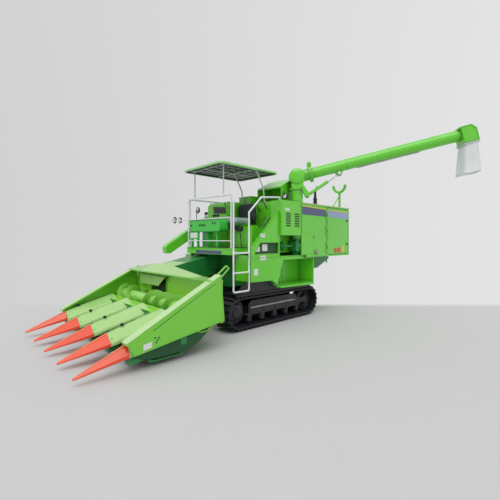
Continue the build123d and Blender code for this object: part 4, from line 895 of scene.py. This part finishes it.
# Operator's platform: rubber mat with ribs, front beam plate, step edge
mat = Shape()
mat.box((-0.66, 0.66), (-0.86, -0.5), (1.3995, 1.406))
for k in range(22):
    x = -0.64 + 0.061 * k
    mat.prism("y", ((x - 0.008, 1.405), (x - 0.005, 1.409), (x + 0.005, 1.409), (x + 0.008, 1.405)),
        -0.85, -0.51)
mat.make("deck_mat", MAT, bevel=0.001)
beam = Shape()
beam.box((-0.39, 0.4), (-0.9235, -0.919), (1.29, 1.352))
beam.make("beam_band", NAVY, bevel=0.001)
deck = Shape()
deck.box((-0.706, 0.706), (-0.928, -0.905), (1.398, 1.404))
deck.box((-0.7, 0.7), (-0.923, -0.918), (1.285, 1.291))
deck.bolts((-0.66, -0.45, 0.46, 0.66), [-0.92], (1.305, 1.375), -Y, 0.008)
for y in (-0.75, -0.6, -0.45, -0.3, -0.15):
    deck.box((0.71, 0.93), (y - 0.012, y + 0.012), (1.3685, 1.375))
deck.make("deck_lips", GREEN, bevel=0.0015)

# Console: gauges, knobs, levers' gates, ignition and blank plates
gauges = Shape()
dials = Shape()
for x, r in ((-0.56, 0.038), (-0.47, 0.038), (0.2, 0.032)):
    at = (x, -0.79, 1.9405)
    gauges.lathe(at, Z, ((0, r + 0.006), (0.008, r + 0.006), (0.012, r + 0.002), (0.01, r), (0.006, r)), 24)
    dials.lathe((x, -0.79, 1.9455), Z, ((0, r), (0.002, r)), 24)
for x in (-0.61, -0.31, -0.23, -0.16):
    gauges.lathe((x, -0.885, 1.83), -Y, ((0, 0.018), (0.008, 0.018), (0.01, 0.013), (0.022, 0.012),
        (0.025, 0.008)), 16)
for x in (0.1, 0.17):
    gauges.lathe((x, -0.885, 1.86), -Y, ((0, 0.014), (0.006, 0.014), (0.018, 0.01)), 16)
for x in (-0.33, -0.28, -0.06, 0.01, 0.08):
    gauges.box((x - 0.014, x + 0.014), (-0.805, -0.71), (1.9395, 1.9435))
gauges.make("console_controls", PLASTIC, bevel=0.001)
dials.make("gauge_faces", DIAL)
plates = Shape()
plates.box((-0.635, -0.4), (-0.8885, -0.884), (1.585, 1.688))
plates.make("console_plate", LABEL, bevel=0.001)
trim = Shape()
trim.box((-0.66, 0.307), (-0.889, -0.884), (1.7, 1.712))
trim.bolts((-0.6, -0.42, -0.34, -0.05, 0.26), [-0.885], [1.925], -Y, 0.007)
trim.box((-0.262, -0.107), (-0.861, -0.859), (1.41, 1.7))
trim.bolts((-0.25, -0.12), [-0.8605], (1.45, 1.66), -Y, 0.006)
trim.make("console_trim", DARK_GREEN, bevel=0.001)

# Lever knobs, and the brake pedal's pad
grips = Shape()
for x, top in ((-0.33, 2.07), (-0.28, 2.07), (-0.06, 2.01), (0.01, 2.01), (0.08, 2.01)):
    grips.lathe((x, -0.744, top - 0.03), (0, 0.06, 1), ((0, 0.01), (0.006, 0.013), (0.02, 0.0195),
        (0.034, 0.0215), (0.047, 0.018), (0.054, 0.01), (0.056, 0.002)), 16)
    grips.lathe((x, -0.754, 1.943), (0, 0.06, 1), ((0, 0.02), (0.008, 0.016), (0.014, 0.009),
        (0.018, 0.007)), 14)
grips.make("lever_grips", PLASTIC)
pedal = Shape(Matrix.Translation((0.58, -0.645, 1.745)) @ Matrix.Rotation(radians(2), 4, "X"))
for k in range(5):
    z = -0.036 + 0.018 * k
    pedal.box((-0.038, 0.038), (-0.052, -0.044), (z - 0.004, z + 0.004))
pedal.make("pedal_ribs", PLASTIC, slot="black_rubber", bevel=0.001)

# Seat base: slide rails, side plates, a folded front lip and an access panel
base = Shape()
for x in (0.14, 0.4):
    base.box((x - 0.02, x + 0.02), (-0.62, -0.1), (1.8345, 1.842))
base.make("seat_slides", PLASTIC, bevel=0.001)
panels = Shape()
panels.box((0.13, 0.6), (-0.4835, -0.479), (1.45, 1.76))
panels.bolts((0.15, 0.58), [-0.4835], (1.47, 1.74), -Y, 0.007)
panels.box((0.7055, 0.7095), (-0.4, -0.02), (1.45, 1.74))
panels.bolts([0.7095], (-0.38, -0.04), (1.47, 1.72), X, 0.007)
panels.box((0.03, 0.7), (-0.4835, -0.479), (1.785, 1.8))
panels.make("seat_box_panels", GREEN, bevel=0.0015)
latch = Shape()
latch.box((0.31, 0.4), (-0.562, -0.48), (1.74, 1.81))
latch.lathe((0.355, -0.562, 1.776), -Y, ((0, 0.016), (0.008, 0.015), (0.012, 0.006)), 16)
for x in (0.325, 0.385):
    latch.bolt((x, -0.563, 1.795), -Y, 0.006)
    latch.bolt((x, -0.563, 1.757), -Y, 0.006)
latch.make("lever_bracket_face", BLACK, bevel=0.001)
bracket = Shape()
for x in (0.1, 0.425):
    bracket.prism("x", ((-0.24, 1.835), (-0.11, 1.835), (-0.1, 1.9), (-0.13, 2.02), (-0.15, 2.02),
        (-0.17, 1.9), (-0.24, 1.86)), x, x + 0.015)
bracket.make("seat_hinge_plates", PLASTIC, bevel=0.001)

# Ladder: treads' grips, clamps and the mirror stays' clamps
rungs = Shape()
for z in (1.008, 1.33):
    for k in range(9):
        y = -1.105 + 0.035 * k
        rungs.lathe((0.98, y, z), Y, ((0, 0.0155), (0.012, 0.0155)), 12)
rungs.make("rung_grips", WHITE, bevel=0.001)
clamps = Shape()
for x, y in ((-0.706, -0.85), (-0.686, -0.9), (0.64, -0.9), (-0.706, 0.03)):
    clamps.lathe((x, y, 1.4), Z, ((0, 0.034), (0.008, 0.034), (0.011, 0.02)), 16)
for x in (-0.46, 0.43):
    clamps.lathe((x, -0.9, 2.33), Z, ((-0.02, 0.019), (0.05, 0.019)), 14)
clamps.box((0.96, 1.0), (-0.9, -0.88), (1.315, 1.345))
for y in (-1.138, -0.795):
    for z in (1.008, 1.33):
        clamps.lathe((0.98, y, z), Z, ((-0.022, 0.0185), (0.022, 0.0185)), 14)
clamps.lathe((0.98, -0.02, 2.281), Z, ((0, 0.032), (0.008, 0.032), (0.012, 0.02)), 16)
clamps.make("rail_clamps", WHITE, bevel=0.001)

# Mirrors: dark rims and their glass, which face the driver
rims = Shape()
glass = Shape()
for x, y, z, r in ((-1.33, -0.88, 1.975, 0.07), (-1.11, -0.88, 1.962, 0.062), (-0.42, -0.905, 2.13, 0.06)):
    y += 0.033
    rims.lathe((x, y, z), Y, ((0, r * 0.6), (0.004, r * 0.85), (0.012, r), (0.024, r), (0.0245, r - 0.006),
        (0.022, r - 0.006)), 28)
    for face, wide, narrow in ((0.0235, r - 0.006, r - 0.008), (-0.004, r * 0.8, r * 0.78)):
        glass.lathe((x, y + face, z), Y if face > 0 else -Y, ((0, wide), (0.001, narrow)), 28)
rims.make("mirror_rims", PLASTIC)
glass.make("mirror_glasses", MIRROR_GLASS)

# Light box and tank front: slanted strokes and blank plates, lying on the panels
PLATE_THICK = 0.0022


def stroke(shape, plane, at, corners):
    """A thin plate on a panel square to an axis."""
    shape.prism(plane, corners, at, at + PLATE_THICK)


strokes = Shape()
for x0, z0, x1, z1, y in ((0.306, 2.24, 0.4, 2.11, 0.058), (0.492, 2.292, 0.585, 2.15, 0.058)):
    stroke(strokes, "y", y, ((x0 - 0.012, z0), (x0 + 0.016, z0), (x1 + 0.016, z1), (x1 - 0.012, z1)))
stroke(strokes, "y", -0.4818, ((-0.062, 2.275), (-0.032, 2.275), (0.01, 2.165), (-0.018, 2.165)))
for y0, z0, y1, z1 in ((-0.578, 1.75, -0.418, 1.95), (-0.478, 1.75, -0.302, 1.94)):
    stroke(strokes, "x", 1.0, ((y0 - 0.016, z0), (y0 + 0.018, z0), (y1 + 0.018, z1), (y1 - 0.016, z1)))
strokes.make("panel_strokes", INK, bevel=0.0006)
band = Shape()
stroke(band, "y", -0.4818, ((-0.395, 2.08), (0.005, 2.062), (-0.01, 2.155), (-0.055, 2.195),
    (-0.42, 2.222)))
band.make("light_box_band", INK, bevel=0.001)
blanks = Shape()
for y0, y1, z0, z1 in ((-0.55, -0.43, 1.59, 1.66), (-0.55, -0.4, 1.19, 1.275), (-0.7, -0.6, 0.94, 1.05)):
    stroke(blanks, "x", 1.0, ((y0, z0), (y1, z0), (y1, z1), (y0, z1)))
stroke(blanks, "x", 1.05, ((0.055, 2.09), (0.18, 2.09), (0.18, 2.14), (0.055, 2.14)))
blanks.make("flank_plates", LABEL, bevel=0.0008)

# Left flank: panel lips, seams, screws and the pockets' inner plates
lips = Shape()
lips.box((1.0, 1.006), (-0.77, 0.69), (1.235, 1.245))
lips.prism("x", ((-0.052, 1.245), (-0.04, 1.245), (-0.04, 2.07), (-0.052, 2.08)), 0.99, 1.004)
foot, head = Vector((-0.7, 1.455)), Vector((-0.05, 2.08))
run = (head - foot).normalized() * 0.012
aside = Vector((run.y, -run.x))
lips.prism("x", (foot, head, head + aside, foot + aside), 0.985, 1.004)
lips.prism("x", ((-0.77, 0.83), (-0.25, 0.82), (0.0, 0.66), (0.0, 0.672), (-0.248, 0.832), (-0.77, 0.842)),
    0.985, 1.005)
lips.box((1.0, 1.005), (0.07, 0.985), (1.174, 1.186))
lips.box((1.0, 1.005), (-0.11, 0.985), (0.684, 0.696))
lips.box((1.0, 1.004), (0.985, 1.01), (0.64, 1.2))
lips.box((0.998, 1.005), (-0.68, -0.07), (1.295, 1.303))
lips.box((0.998, 1.005), (-0.54, -0.07), (1.497, 1.505))
lips.make("flank_lips", GREEN, bevel=0.0015)
screws = Shape()
for y, z in ((-0.74, 1.27), (-0.74, 1.4), (-0.64, 1.27), (-0.35, 1.27), (-0.1, 1.27), (-0.1, 1.56),
        (-0.1, 1.8), (-0.1, 2.0), (-0.74, 1.2), (-0.74, 1.02), (-0.74, 0.87), (-0.5, 0.86), (-0.26, 0.85),
        (-0.45, 1.2), (-0.2, 1.2), (0.02, 0.68), (0.3, 0.665), (0.6, 0.665), (0.9, 0.665)):
    screws.bolt((1.0, y, z), X, 0.007)
screws.bolts((0.72, 0.93), (0.1, 0.35, 0.6), [0.691], Z, 0.008)
screws.make("flank_screws", GREEN)
pocket = Shape()
pocket.box((0.631, 0.64), (0.36, 0.372), (0.7, 1.175))
pocket.box((0.631, 0.655), (0.07, 0.985), (0.692, 0.7))
pocket.box((0.631, 0.638), (0.44, 0.93), (0.78, 1.12))
pocket.bolts([0.638], (0.46, 0.91), (0.8, 1.1), X, 0.008)
pocket.make("pocket_plates", GREEN, bevel=0.0015)
shade = Shape()
shade.prism("x", ((-0.655, 1.3065), (-0.072, 1.3065), (-0.072, 1.4955), (-0.525, 1.4955)), 0.9602, 0.9622)
shade.make("pocket_shade", UNDER_GREEN, bevel=0.0008)
box = Shape()
for y0, y1, z0, z1 in ((-0.61, -0.52, 1.34, 1.43), (-0.46, -0.33, 1.35, 1.47)):
    box.box((0.962, 0.965), (y0, y1), (z0, z1))
box.make("pocket_blanks", LABEL, bevel=0.0008)

# Louvres: hooded slots, with black plates behind them as painted shade in their openings
hoods = Shape()
slots = Shape()
for y in (0.08, 0.335):
    for i in range(6):
        z = 1.8 + 0.045 * i
        slots.box((1.046, 1.0508), (y + 0.001, y + 0.139), (z - 0.002, z + 0.022))
        hoods.prism("y", ((1.049, z + 0.034), (1.0575, z + 0.026), (1.0565, z + 0.023), (1.049, z + 0.027)),
            y - 0.003, y + 0.143)
hoods.box((1.049, 1.053), (-0.048, -0.036), (1.632, 2.262))
hoods.box((1.049, 1.053), (0.518, 0.53), (1.632, 2.262))
hoods.box((1.049, 1.053), (-0.036, 0.518), (1.632, 1.644))
hoods.bolts([1.05], (-0.02, 0.25, 0.5), (1.66, 2.22), X, 0.007)
hoods.make("louvre_hoods", GREEN, bevel=0.001)
slots.make("louvre_slot_shades", INK)

# Recess under the louvres: gearbox bolts, drive guard and oil cup
gear = Shape()
gear.bolts([1.01], (0.46, 0.61), (1.36, 1.5), X, 0.01)
gear.lathe((1.008, 0.535, 1.43), X, ((0, 0.07), (0.008, 0.07), (0.012, 0.05), (0.018, 0.03), (0.02, 0.006)),
    24)
gear.lathe((0.92, 0.12, 1.43), -Y, ((0, 0.088), (0.01, 0.092), (0.018, 0.088), (0.02, 0.05), (0.035, 0.035),
    (0.038, 0.008)), 24)
gear.lathe((*AUGER_FOOT, 1.54), Z, ((0, 0.115), (0.014, 0.115), (0.016, 0.092), (0.04, 0.091)), 28)
gear.bolt_ring((*AUGER_FOOT, 1.553), Z, 0.104, 8, 0.008)
gear.make("gearbox_details", DARK_GREEN, bevel=0.001)

# Rear hood: stripe along its flank, seams, hatch, hinges' bolts, latches, plates
FLANK = 1.05


def stripe(name, material, body, *fields):
    """One colour of the hood's stripe."""
    shape = Shape()
    for field in fields:
        stroke(shape, "x", FLANK, field)
    shape.make(name, material, body, bevel=0.0006)


stripe("stripe_navy", NAVY, "chassis", ((0.565, 2.045), (1.385, 2.036), (1.385, 2.176), (0.565, 2.2)))
stripe("stripe_lavender", LAVENDER, "door", ((1.425, 2.035), (2.285, 2.02), (2.285, 2.15), (1.425, 2.175)))
stripe("stripe_yellow", YELLOW, "chassis", ((0.565, 2.205), (1.385, 2.182), (1.385, 2.2), (0.565, 2.228)),
    ((1.425, 2.181), (2.285, 2.156), (2.285, 2.174), (1.425, 2.199)))
trims = Shape()
for z0, z1, y0, y1 in ((1.27, 1.276, 0.54, 0.95), (1.664, 1.67, 0.54, 0.95), (1.276, 1.664, 0.54, 0.546),
        (1.276, 1.664, 0.944, 0.95)):
    trims.box((1.05, 1.0525), (y0, y1), (z0, z1))
trims.box((1.05, 1.053), (0.7, 2.3), (2.246, 2.252))
trims.box((1.05, 1.055), (0.71, 1.4), (1.204, 1.214))
trims.box((1.049, 1.053), (1.398, 1.404), (1.21, 2.24))
trims.bolts([1.05], (0.57, 0.92, 1.15, 1.37), (1.23, 1.7, 2.235), X, 0.007)
# A rolled top edge along the hood, pale as a painted highlight.
edge = Shape()
edge.prism("y", ((1.0495, 2.254), (1.054, 2.256), (1.0555, 2.264), (1.053, 2.273), (1.046, 2.2785),
    (1.03, 2.2815), (1.02, 2.2795), (1.0495, 2.2785)), 0.56, 2.325)
edge.make("hood_top_edge_highlight", SHEEN_HOOD_GREEN, bevel=0.001)
trims.make("hood_trims", GREEN, bevel=0.0012)
door = Shape()
for z in (1.25, 2.215):
    door.box((1.049, 1.054), (1.43, 2.28), (z - 0.006, z + 0.006))
for y in (1.436, 2.276):
    door.box((1.049, 1.054), (y - 0.006, y + 0.006), (1.256, 2.209))
door.make("door_ribs", GREEN, "door", bevel=0.0015)
latches = Shape()
for z in (1.45, 1.98):
    latches.box((1.049, 1.058), (2.2, 2.25), (z - 0.02, z + 0.02))
    latches.lathe((1.057, 2.225, z), X, ((0, 0.014), (0.01, 0.013), (0.013, 0.005)), 14)
latches.make("door_latches", BLACK, "door", bevel=0.001)
marks = Shape()
for y0, y1 in ((1.7, 1.8), (1.84, 1.94)):
    marks.box((1.0525, 1.0545), (y0, y1), (1.27, 1.37))
marks.make("door_plates_red", RED, "door", bevel=0.0006)
marks = Shape()
marks.box((1.0525, 1.0545), (2.0, 2.1), (1.27, 1.42))
marks.make("door_plates_yellow", YELLOW, "door", slot="orange", bevel=0.0006)
latch = Shape()
latch.box((1.05, 1.06), (0.93, 0.97), (1.59, 1.63))
latch.lathe((1.058, 0.95, 1.61), X, ((0, 0.013), (0.01, 0.012), (0.012, 0.004)), 14)
latch.lathe((1.05, 1.02, 1.3), X, ((0, 0.05), (0.012, 0.05), (0.016, 0.042), (0.03, 0.04), (0.034, 0.012)),
    20)
latch.make("hatch_latch", STEEL, bevel=0.001)

# Track guards: a black fender over each track's upper run and a skirt up to the flank's lower edge
low, high = Vector(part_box("track_left")[0]), Vector(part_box("track_left")[1])
FENDER_Z = high.z + 0.012
SKIRT_X = 0.884
guards = Shape()
for side in (1, -1):
    guards.box((side * 0.45, side * 0.906), (-1.01, 1.01), (FENDER_Z, FENDER_Z + 0.006))
    guards.prism("y", [(side * x, z) for x, z in ((0.906, FENDER_Z + 0.006), (0.906, FENDER_Z - 0.03),
        (0.902, FENDER_Z - 0.03), (0.902, FENDER_Z + 0.006))], -1.01, 1.01)
    guards.prism("x", ((-0.77, 0.835), (-0.25, 0.825), (0.0, 0.665), (1.0, 0.645), (1.0, FENDER_Z),
        (-1.0, FENDER_Z), (-1.0, 0.67)), side * SKIRT_X, side * (SKIRT_X + 0.005))
    guards.prism("y", [(side * x, z) for x, z in ((0.45, FENDER_Z), (SKIRT_X, FENDER_Z), (SKIRT_X, 0.7),
        (0.45, 0.7))], 0.995, 1.0)
for side in (1, -1):
    guards.box((side * 0.44, side * 0.446), (-0.92, 0.92), (0.18, 0.7))
guards.make("track_guards", BLACK, bevel=0.0015)

# Lamps: a round work lamp beside the tank's hood, and the tail lamps with their lenses
lamp = Shape()
lamp.lathe((0.82, 0.362, 2.4), -Y, ((0, 0.03), (0.004, 0.046), (0.022, 0.057), (0.05, 0.0595),
    (0.06, 0.0595), (0.0605, 0.054), (0.056, 0.053)), 36)
lamp.rod((0.82, 0.345, 2.345), (0.82, 0.345, 2.28), 0.009)
lamp.box((0.79, 0.85), (0.325, 0.365), (2.276, 2.284))
for x in (-0.9, 0.9):
    lamp.box((x - 0.06, x + 0.06), (2.3305, 2.345), (1.3, 1.38))
lamp.make("work_lamp", PLASTIC, replaces=["lamps"], bevel=0.002)
glass = Shape()
glass.lathe((0.82, 0.3065, 2.4), -Y, ((0, 0.0528), (0.002, 0.05), (0.006, 0.03), (0.008, 0.004)), 36)
glass.make("work_lamp_lens", MIRROR_GLASS, slot="lamp")
tails = Shape()
for x in (-0.9, 0.9):
    tails.box((x - 0.054, x + 0.054), (2.345, 2.358), (1.306, 1.374))
tails.make("tail_lamp_lenses", AMBER, bevel=0.004, segments=3)

# Exhaust: a stack with a guard and a swept tip
stack = Shape()
sweep = [(0.3, 2.05, 2.279), (0.3, 2.05, 2.6), (0.3, 2.05, 2.7)]
for i in range(1, 9):
    turn = pi / 2 * 0.62 * i / 8
    sweep.append((0.3, 2.05 + 0.09 * (1 - cos(turn)), 2.7 + 0.09 * sin(turn)))
sweep.append((0.3, 2.145, 2.832))
stack.pipe(sweep, 0.031, 24)
stack.lathe((0.3, 2.05, 2.279), Z, ((0, 0.055), (0.012, 0.055), (0.014, 0.036)), 28)
stack.lathe((0.3, 2.05, 2.36), Z, ((0, 0.034), (0.004, 0.045), (0.196, 0.045), (0.2, 0.034)), 28)
for z in (2.4, 2.52):
    stack.lathe((0.3, 2.05, z), Z, ((0, 0.0455), (0.002, 0.048), (0.016, 0.048), (0.018, 0.0455)), 28)
stack.make("exhaust_stack", BLACK, replaces=["exhaust_pipe"])

# Cradle: horned side plates round its saddle, with their bolts
horns = Shape()
low, high = Vector(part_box("boom_cradle")[0]), Vector(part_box("boom_cradle")[1])
SADDLE_Y = 2.09
for y in (SADDLE_Y - 0.026, SADDLE_Y + 0.02):
    arc = [(0.93 + 0.135 * cos(pi + pi * i / 12), 2.79 + 0.135 * sin(pi + pi * i / 12)) for i in range(13)]
    outline = [(0.765, 2.8), (0.765, 2.745), (0.8, 2.68), (0.86, 2.625), (0.93, 2.6), (1.0, 2.625),
        (1.06, 2.68), (1.095, 2.745), (1.095, 2.8)] + arc[::-1]
    horns.prism("y", outline, y, y + 0.006)
for x, z in ((0.79, 2.76), (0.85, 2.655), (1.01, 2.655), (1.07, 2.76)):
    horns.bolt((x, SADDLE_Y - 0.026, z), -Y, 0.007)
horns.make("cradle_horns", GREEN, bevel=0.001)

# Cushions: each starts as a slim closed form, swells as cloth under pressure, and is quilted afterwards
CUSHION_VOXEL = 0.007
SWELL_LIMIT = 0.014
SWELL_FRAMES = 20
PAD_CHANNELS = 0.098
CHANNEL_HALF = 0.007
BACK_DIAMONDS = 0.085


def swell(piece):
    """Lets a closed mesh swell as cloth for a few frames, by no more than the limit."""
    remesh = piece.modifiers.new("even", "REMESH")
    remesh.mode = "VOXEL"
    remesh.voxel_size = CUSHION_VOXEL
    before = bpy.data.meshes.new_from_object(piece.evaluated_get(bpy.context.evaluated_depsgraph_get()))
    piece.modifiers.clear()
    piece.data = before
    rest = [v.co.copy() for v in before.vertices]
    cloth = piece.modifiers.new("swell", "CLOTH")
    cloth.settings.quality = 4
    cloth.settings.mass = 0.3
    cloth.settings.tension_stiffness = 12
    cloth.settings.compression_stiffness = 12
    cloth.settings.use_pressure = True
    cloth.settings.uniform_pressure_force = 4
    cloth.settings.effector_weights.gravity = 0
    cloth.point_cache.frame_end = SWELL_FRAMES
    for step in range(1, SWELL_FRAMES + 1):
        bpy.context.scene.frame_set(step)
    after = bpy.data.meshes.new_from_object(piece.evaluated_get(bpy.context.evaluated_depsgraph_get()))
    piece.modifiers.clear()
    for vertex, start in zip(after.vertices, rest):
        move = vertex.co - start
        if move.length > SWELL_LIMIT:
            vertex.co = start + move.normalized() * SWELL_LIMIT
    piece.data = after
    bpy.context.scene.frame_set(1)


def groove(value, pitch):
    """How deep a sewn channel is at a place, from 0 between channels to 1 in one."""
    off = abs((value / pitch + 0.5) % 1 - 0.5) * pitch
    return max(0.0, 1 - (off / CHANNEL_HALF) ** 2)


def cushion(name, node, material, place, half, thick, radius, quilt, depth):
    """A padded piece about the middle of its CAD solid, whose face towards local +z is quilted."""
    form = Shape()
    layers = ((0.0, 0.03), (0.12, 0.01), (0.35, 0.0), (0.65, 0.0), (0.88, 0.008), (1.0, 0.03))
    form.loft([[(x, y, thick * (share - 0.5))
        for x, y in corner_ring(half[0] - inset, half[1] - inset, radius)] for share, inset in layers])
    piece = form.make(name, material, replaces=[node])
    piece.modifiers.clear()
    swell(piece)
    for vertex in piece.data.vertices:
        x, y, z = vertex.co
        if z > thick * 0.2:
            edge = min(1.0, (half[0] - abs(x)) / 0.05, (half[1] - abs(y)) / 0.05)
            vertex.co.z -= depth * quilt(x, y) * max(0.0, edge)
        vertex.co = place @ vertex.co
    piece.data.materials.clear()
    piece.data.materials.append(material)
    shade_smooth(piece.data)
    smooth = piece.modifiers.new("smooth", "SUBSURF")
    smooth.levels = smooth.render_levels = 1


low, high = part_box("seat_cushion")
middle = (Vector(low) + Vector(high)) / 2
size = Vector(high) - Vector(low)
SEAT = Matrix.Translation(middle)
# The seat pad's pale colour is a painted reflection on its wrap.
cushion("seat_pad", "seat_cushion", SHEEN_WRAP, SEAT, (size.x / 2 - 0.01, size.y / 2 - 0.01),
    size.z - 0.022, 0.07, lambda x, y: groove(x, PAD_CHANNELS), 0.009)
low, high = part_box("seat_back")
middle = (Vector(low) + Vector(high)) / 2
BACK_HEIGHT = 0.39
BACK_THICK = 0.1
BACK_LEAN = radians(7.3)
middle.z = high[2] - BACK_HEIGHT / 2
middle.y = high[1] - BACK_THICK / 2 - 0.025
BACK = Matrix.Translation(middle) @ Matrix.Rotation(BACK_LEAN + pi / 2, 4, "X")
cushion("seat_backrest", "seat_back", VINYL, BACK, (0.24, BACK_HEIGHT / 2 - 0.008),
    BACK_THICK - 0.02, 0.09, lambda x, y: max(groove(x + y, BACK_DIAMONDS), groove(x - y, BACK_DIAMONDS)),
    0.007)
foot = Shape()
foot.box((0.235, 0.305), (-0.195, -0.105), (1.836, 1.9))
foot.bolts((0.245, 0.295), [-0.196], [1.85], -Y, 0.006)
foot.make("backrest_foot", BLACK, bevel=0.003)

# Sleeve: an open tube of woven plastic, hung from the spout, whose folds deepen towards its hem
low, high = Vector(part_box("spout_sleeve")[0]), Vector(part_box("spout_sleeve")[1])
SLEEVE_LENGTH = high.z - low.z - 0.004
RIM_SLANT = tan(BOOM_DROP)
CLOTH_THICK = 0.0015
SLEEVE_ROWS = 44
SLEEVE_COLUMNS = 168
SLEEVE_TOP = (0.144, 0.119)
SLEEVE_HEM = (0.204, 0.154)
middle = (low + high) / 2
rows = []
for r in range(SLEEVE_ROWS + 1):
    down = r / SLEEVE_ROWS
    half_x = SLEEVE_TOP[0] + (SLEEVE_HEM[0] - SLEEVE_TOP[0]) * down
    half_y = SLEEVE_TOP[1] + (SLEEVE_HEM[1] - SLEEVE_TOP[1]) * down
    row = []
    for i in range(SLEEVE_COLUMNS):
        turn = 2 * pi * i / SLEEVE_COLUMNS
        shape = (abs(cos(turn)) ** 5 + abs(sin(turn)) ** 5) ** -0.2
        fold = 0.62 * sin(5 * turn + 0.9 * down) + 0.26 * sin(9 * turn + 2.1) + 0.12 * sin(14 * turn - 1.1 *
            down)
        drift = noise.noise(Vector((2.4 * cos(turn), 2.4 * sin(turn), 2.2 * down)))
        out = 1 + (0.006 + 0.036 * down ** 0.9) * fold + 0.05 * drift * down
        x, y = half_x * shape * cos(turn) * out, half_y * shape * sin(turn) * out
        sag = 0.006 * sin(3 * turn + 0.7) * down + RIM_SLANT * (y - 0.02) * (1 - 0.3 * down)
        row.append((middle.x + x * -sin(BOOM_TURN) + y * cos(BOOM_TURN),
            middle.y + x * cos(BOOM_TURN) + y * sin(BOOM_TURN),
            high.z - 0.002 - SLEEVE_LENGTH * down + sag))
    rows.append(row)
data = bpy.data.meshes.new("spout_cloth")
points = [p for row in rows for p in row]
faces = [(r * SLEEVE_COLUMNS + i, r * SLEEVE_COLUMNS + (i + 1) % SLEEVE_COLUMNS,
    (r + 1) * SLEEVE_COLUMNS + (i + 1) % SLEEVE_COLUMNS,
    (r + 1) * SLEEVE_COLUMNS + i) for r in range(SLEEVE_ROWS) for i in range(SLEEVE_COLUMNS)]
data.from_pydata(points, [], faces)
data.materials.append(SLEEVE)
shade_smooth(data)
sleeve = new_object("spout_cloth", data)
thick = sleeve.modifiers.new("thickness", "SOLIDIFY")
thick.thickness = CLOTH_THICK
thick.offset = 0
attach(sleeve, "boom")
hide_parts("spout_sleeve")
cuff = Shape(Matrix.Translation((middle.x, middle.y, 0)) @ Matrix.Rotation(BOOM_TURN + pi / 2, 4, "Z"))
cuff.loft([[(x, y, z - RIM_SLANT * (y + 0.02)) for x, y in corner_ring(0.158, 0.133, 0.02,
    4)] for z in (high.z - 0.032, high.z - 0.004)])
cuff.make("sleeve_cuff", CANOPY_WHITE, "boom", bevel=0.002)
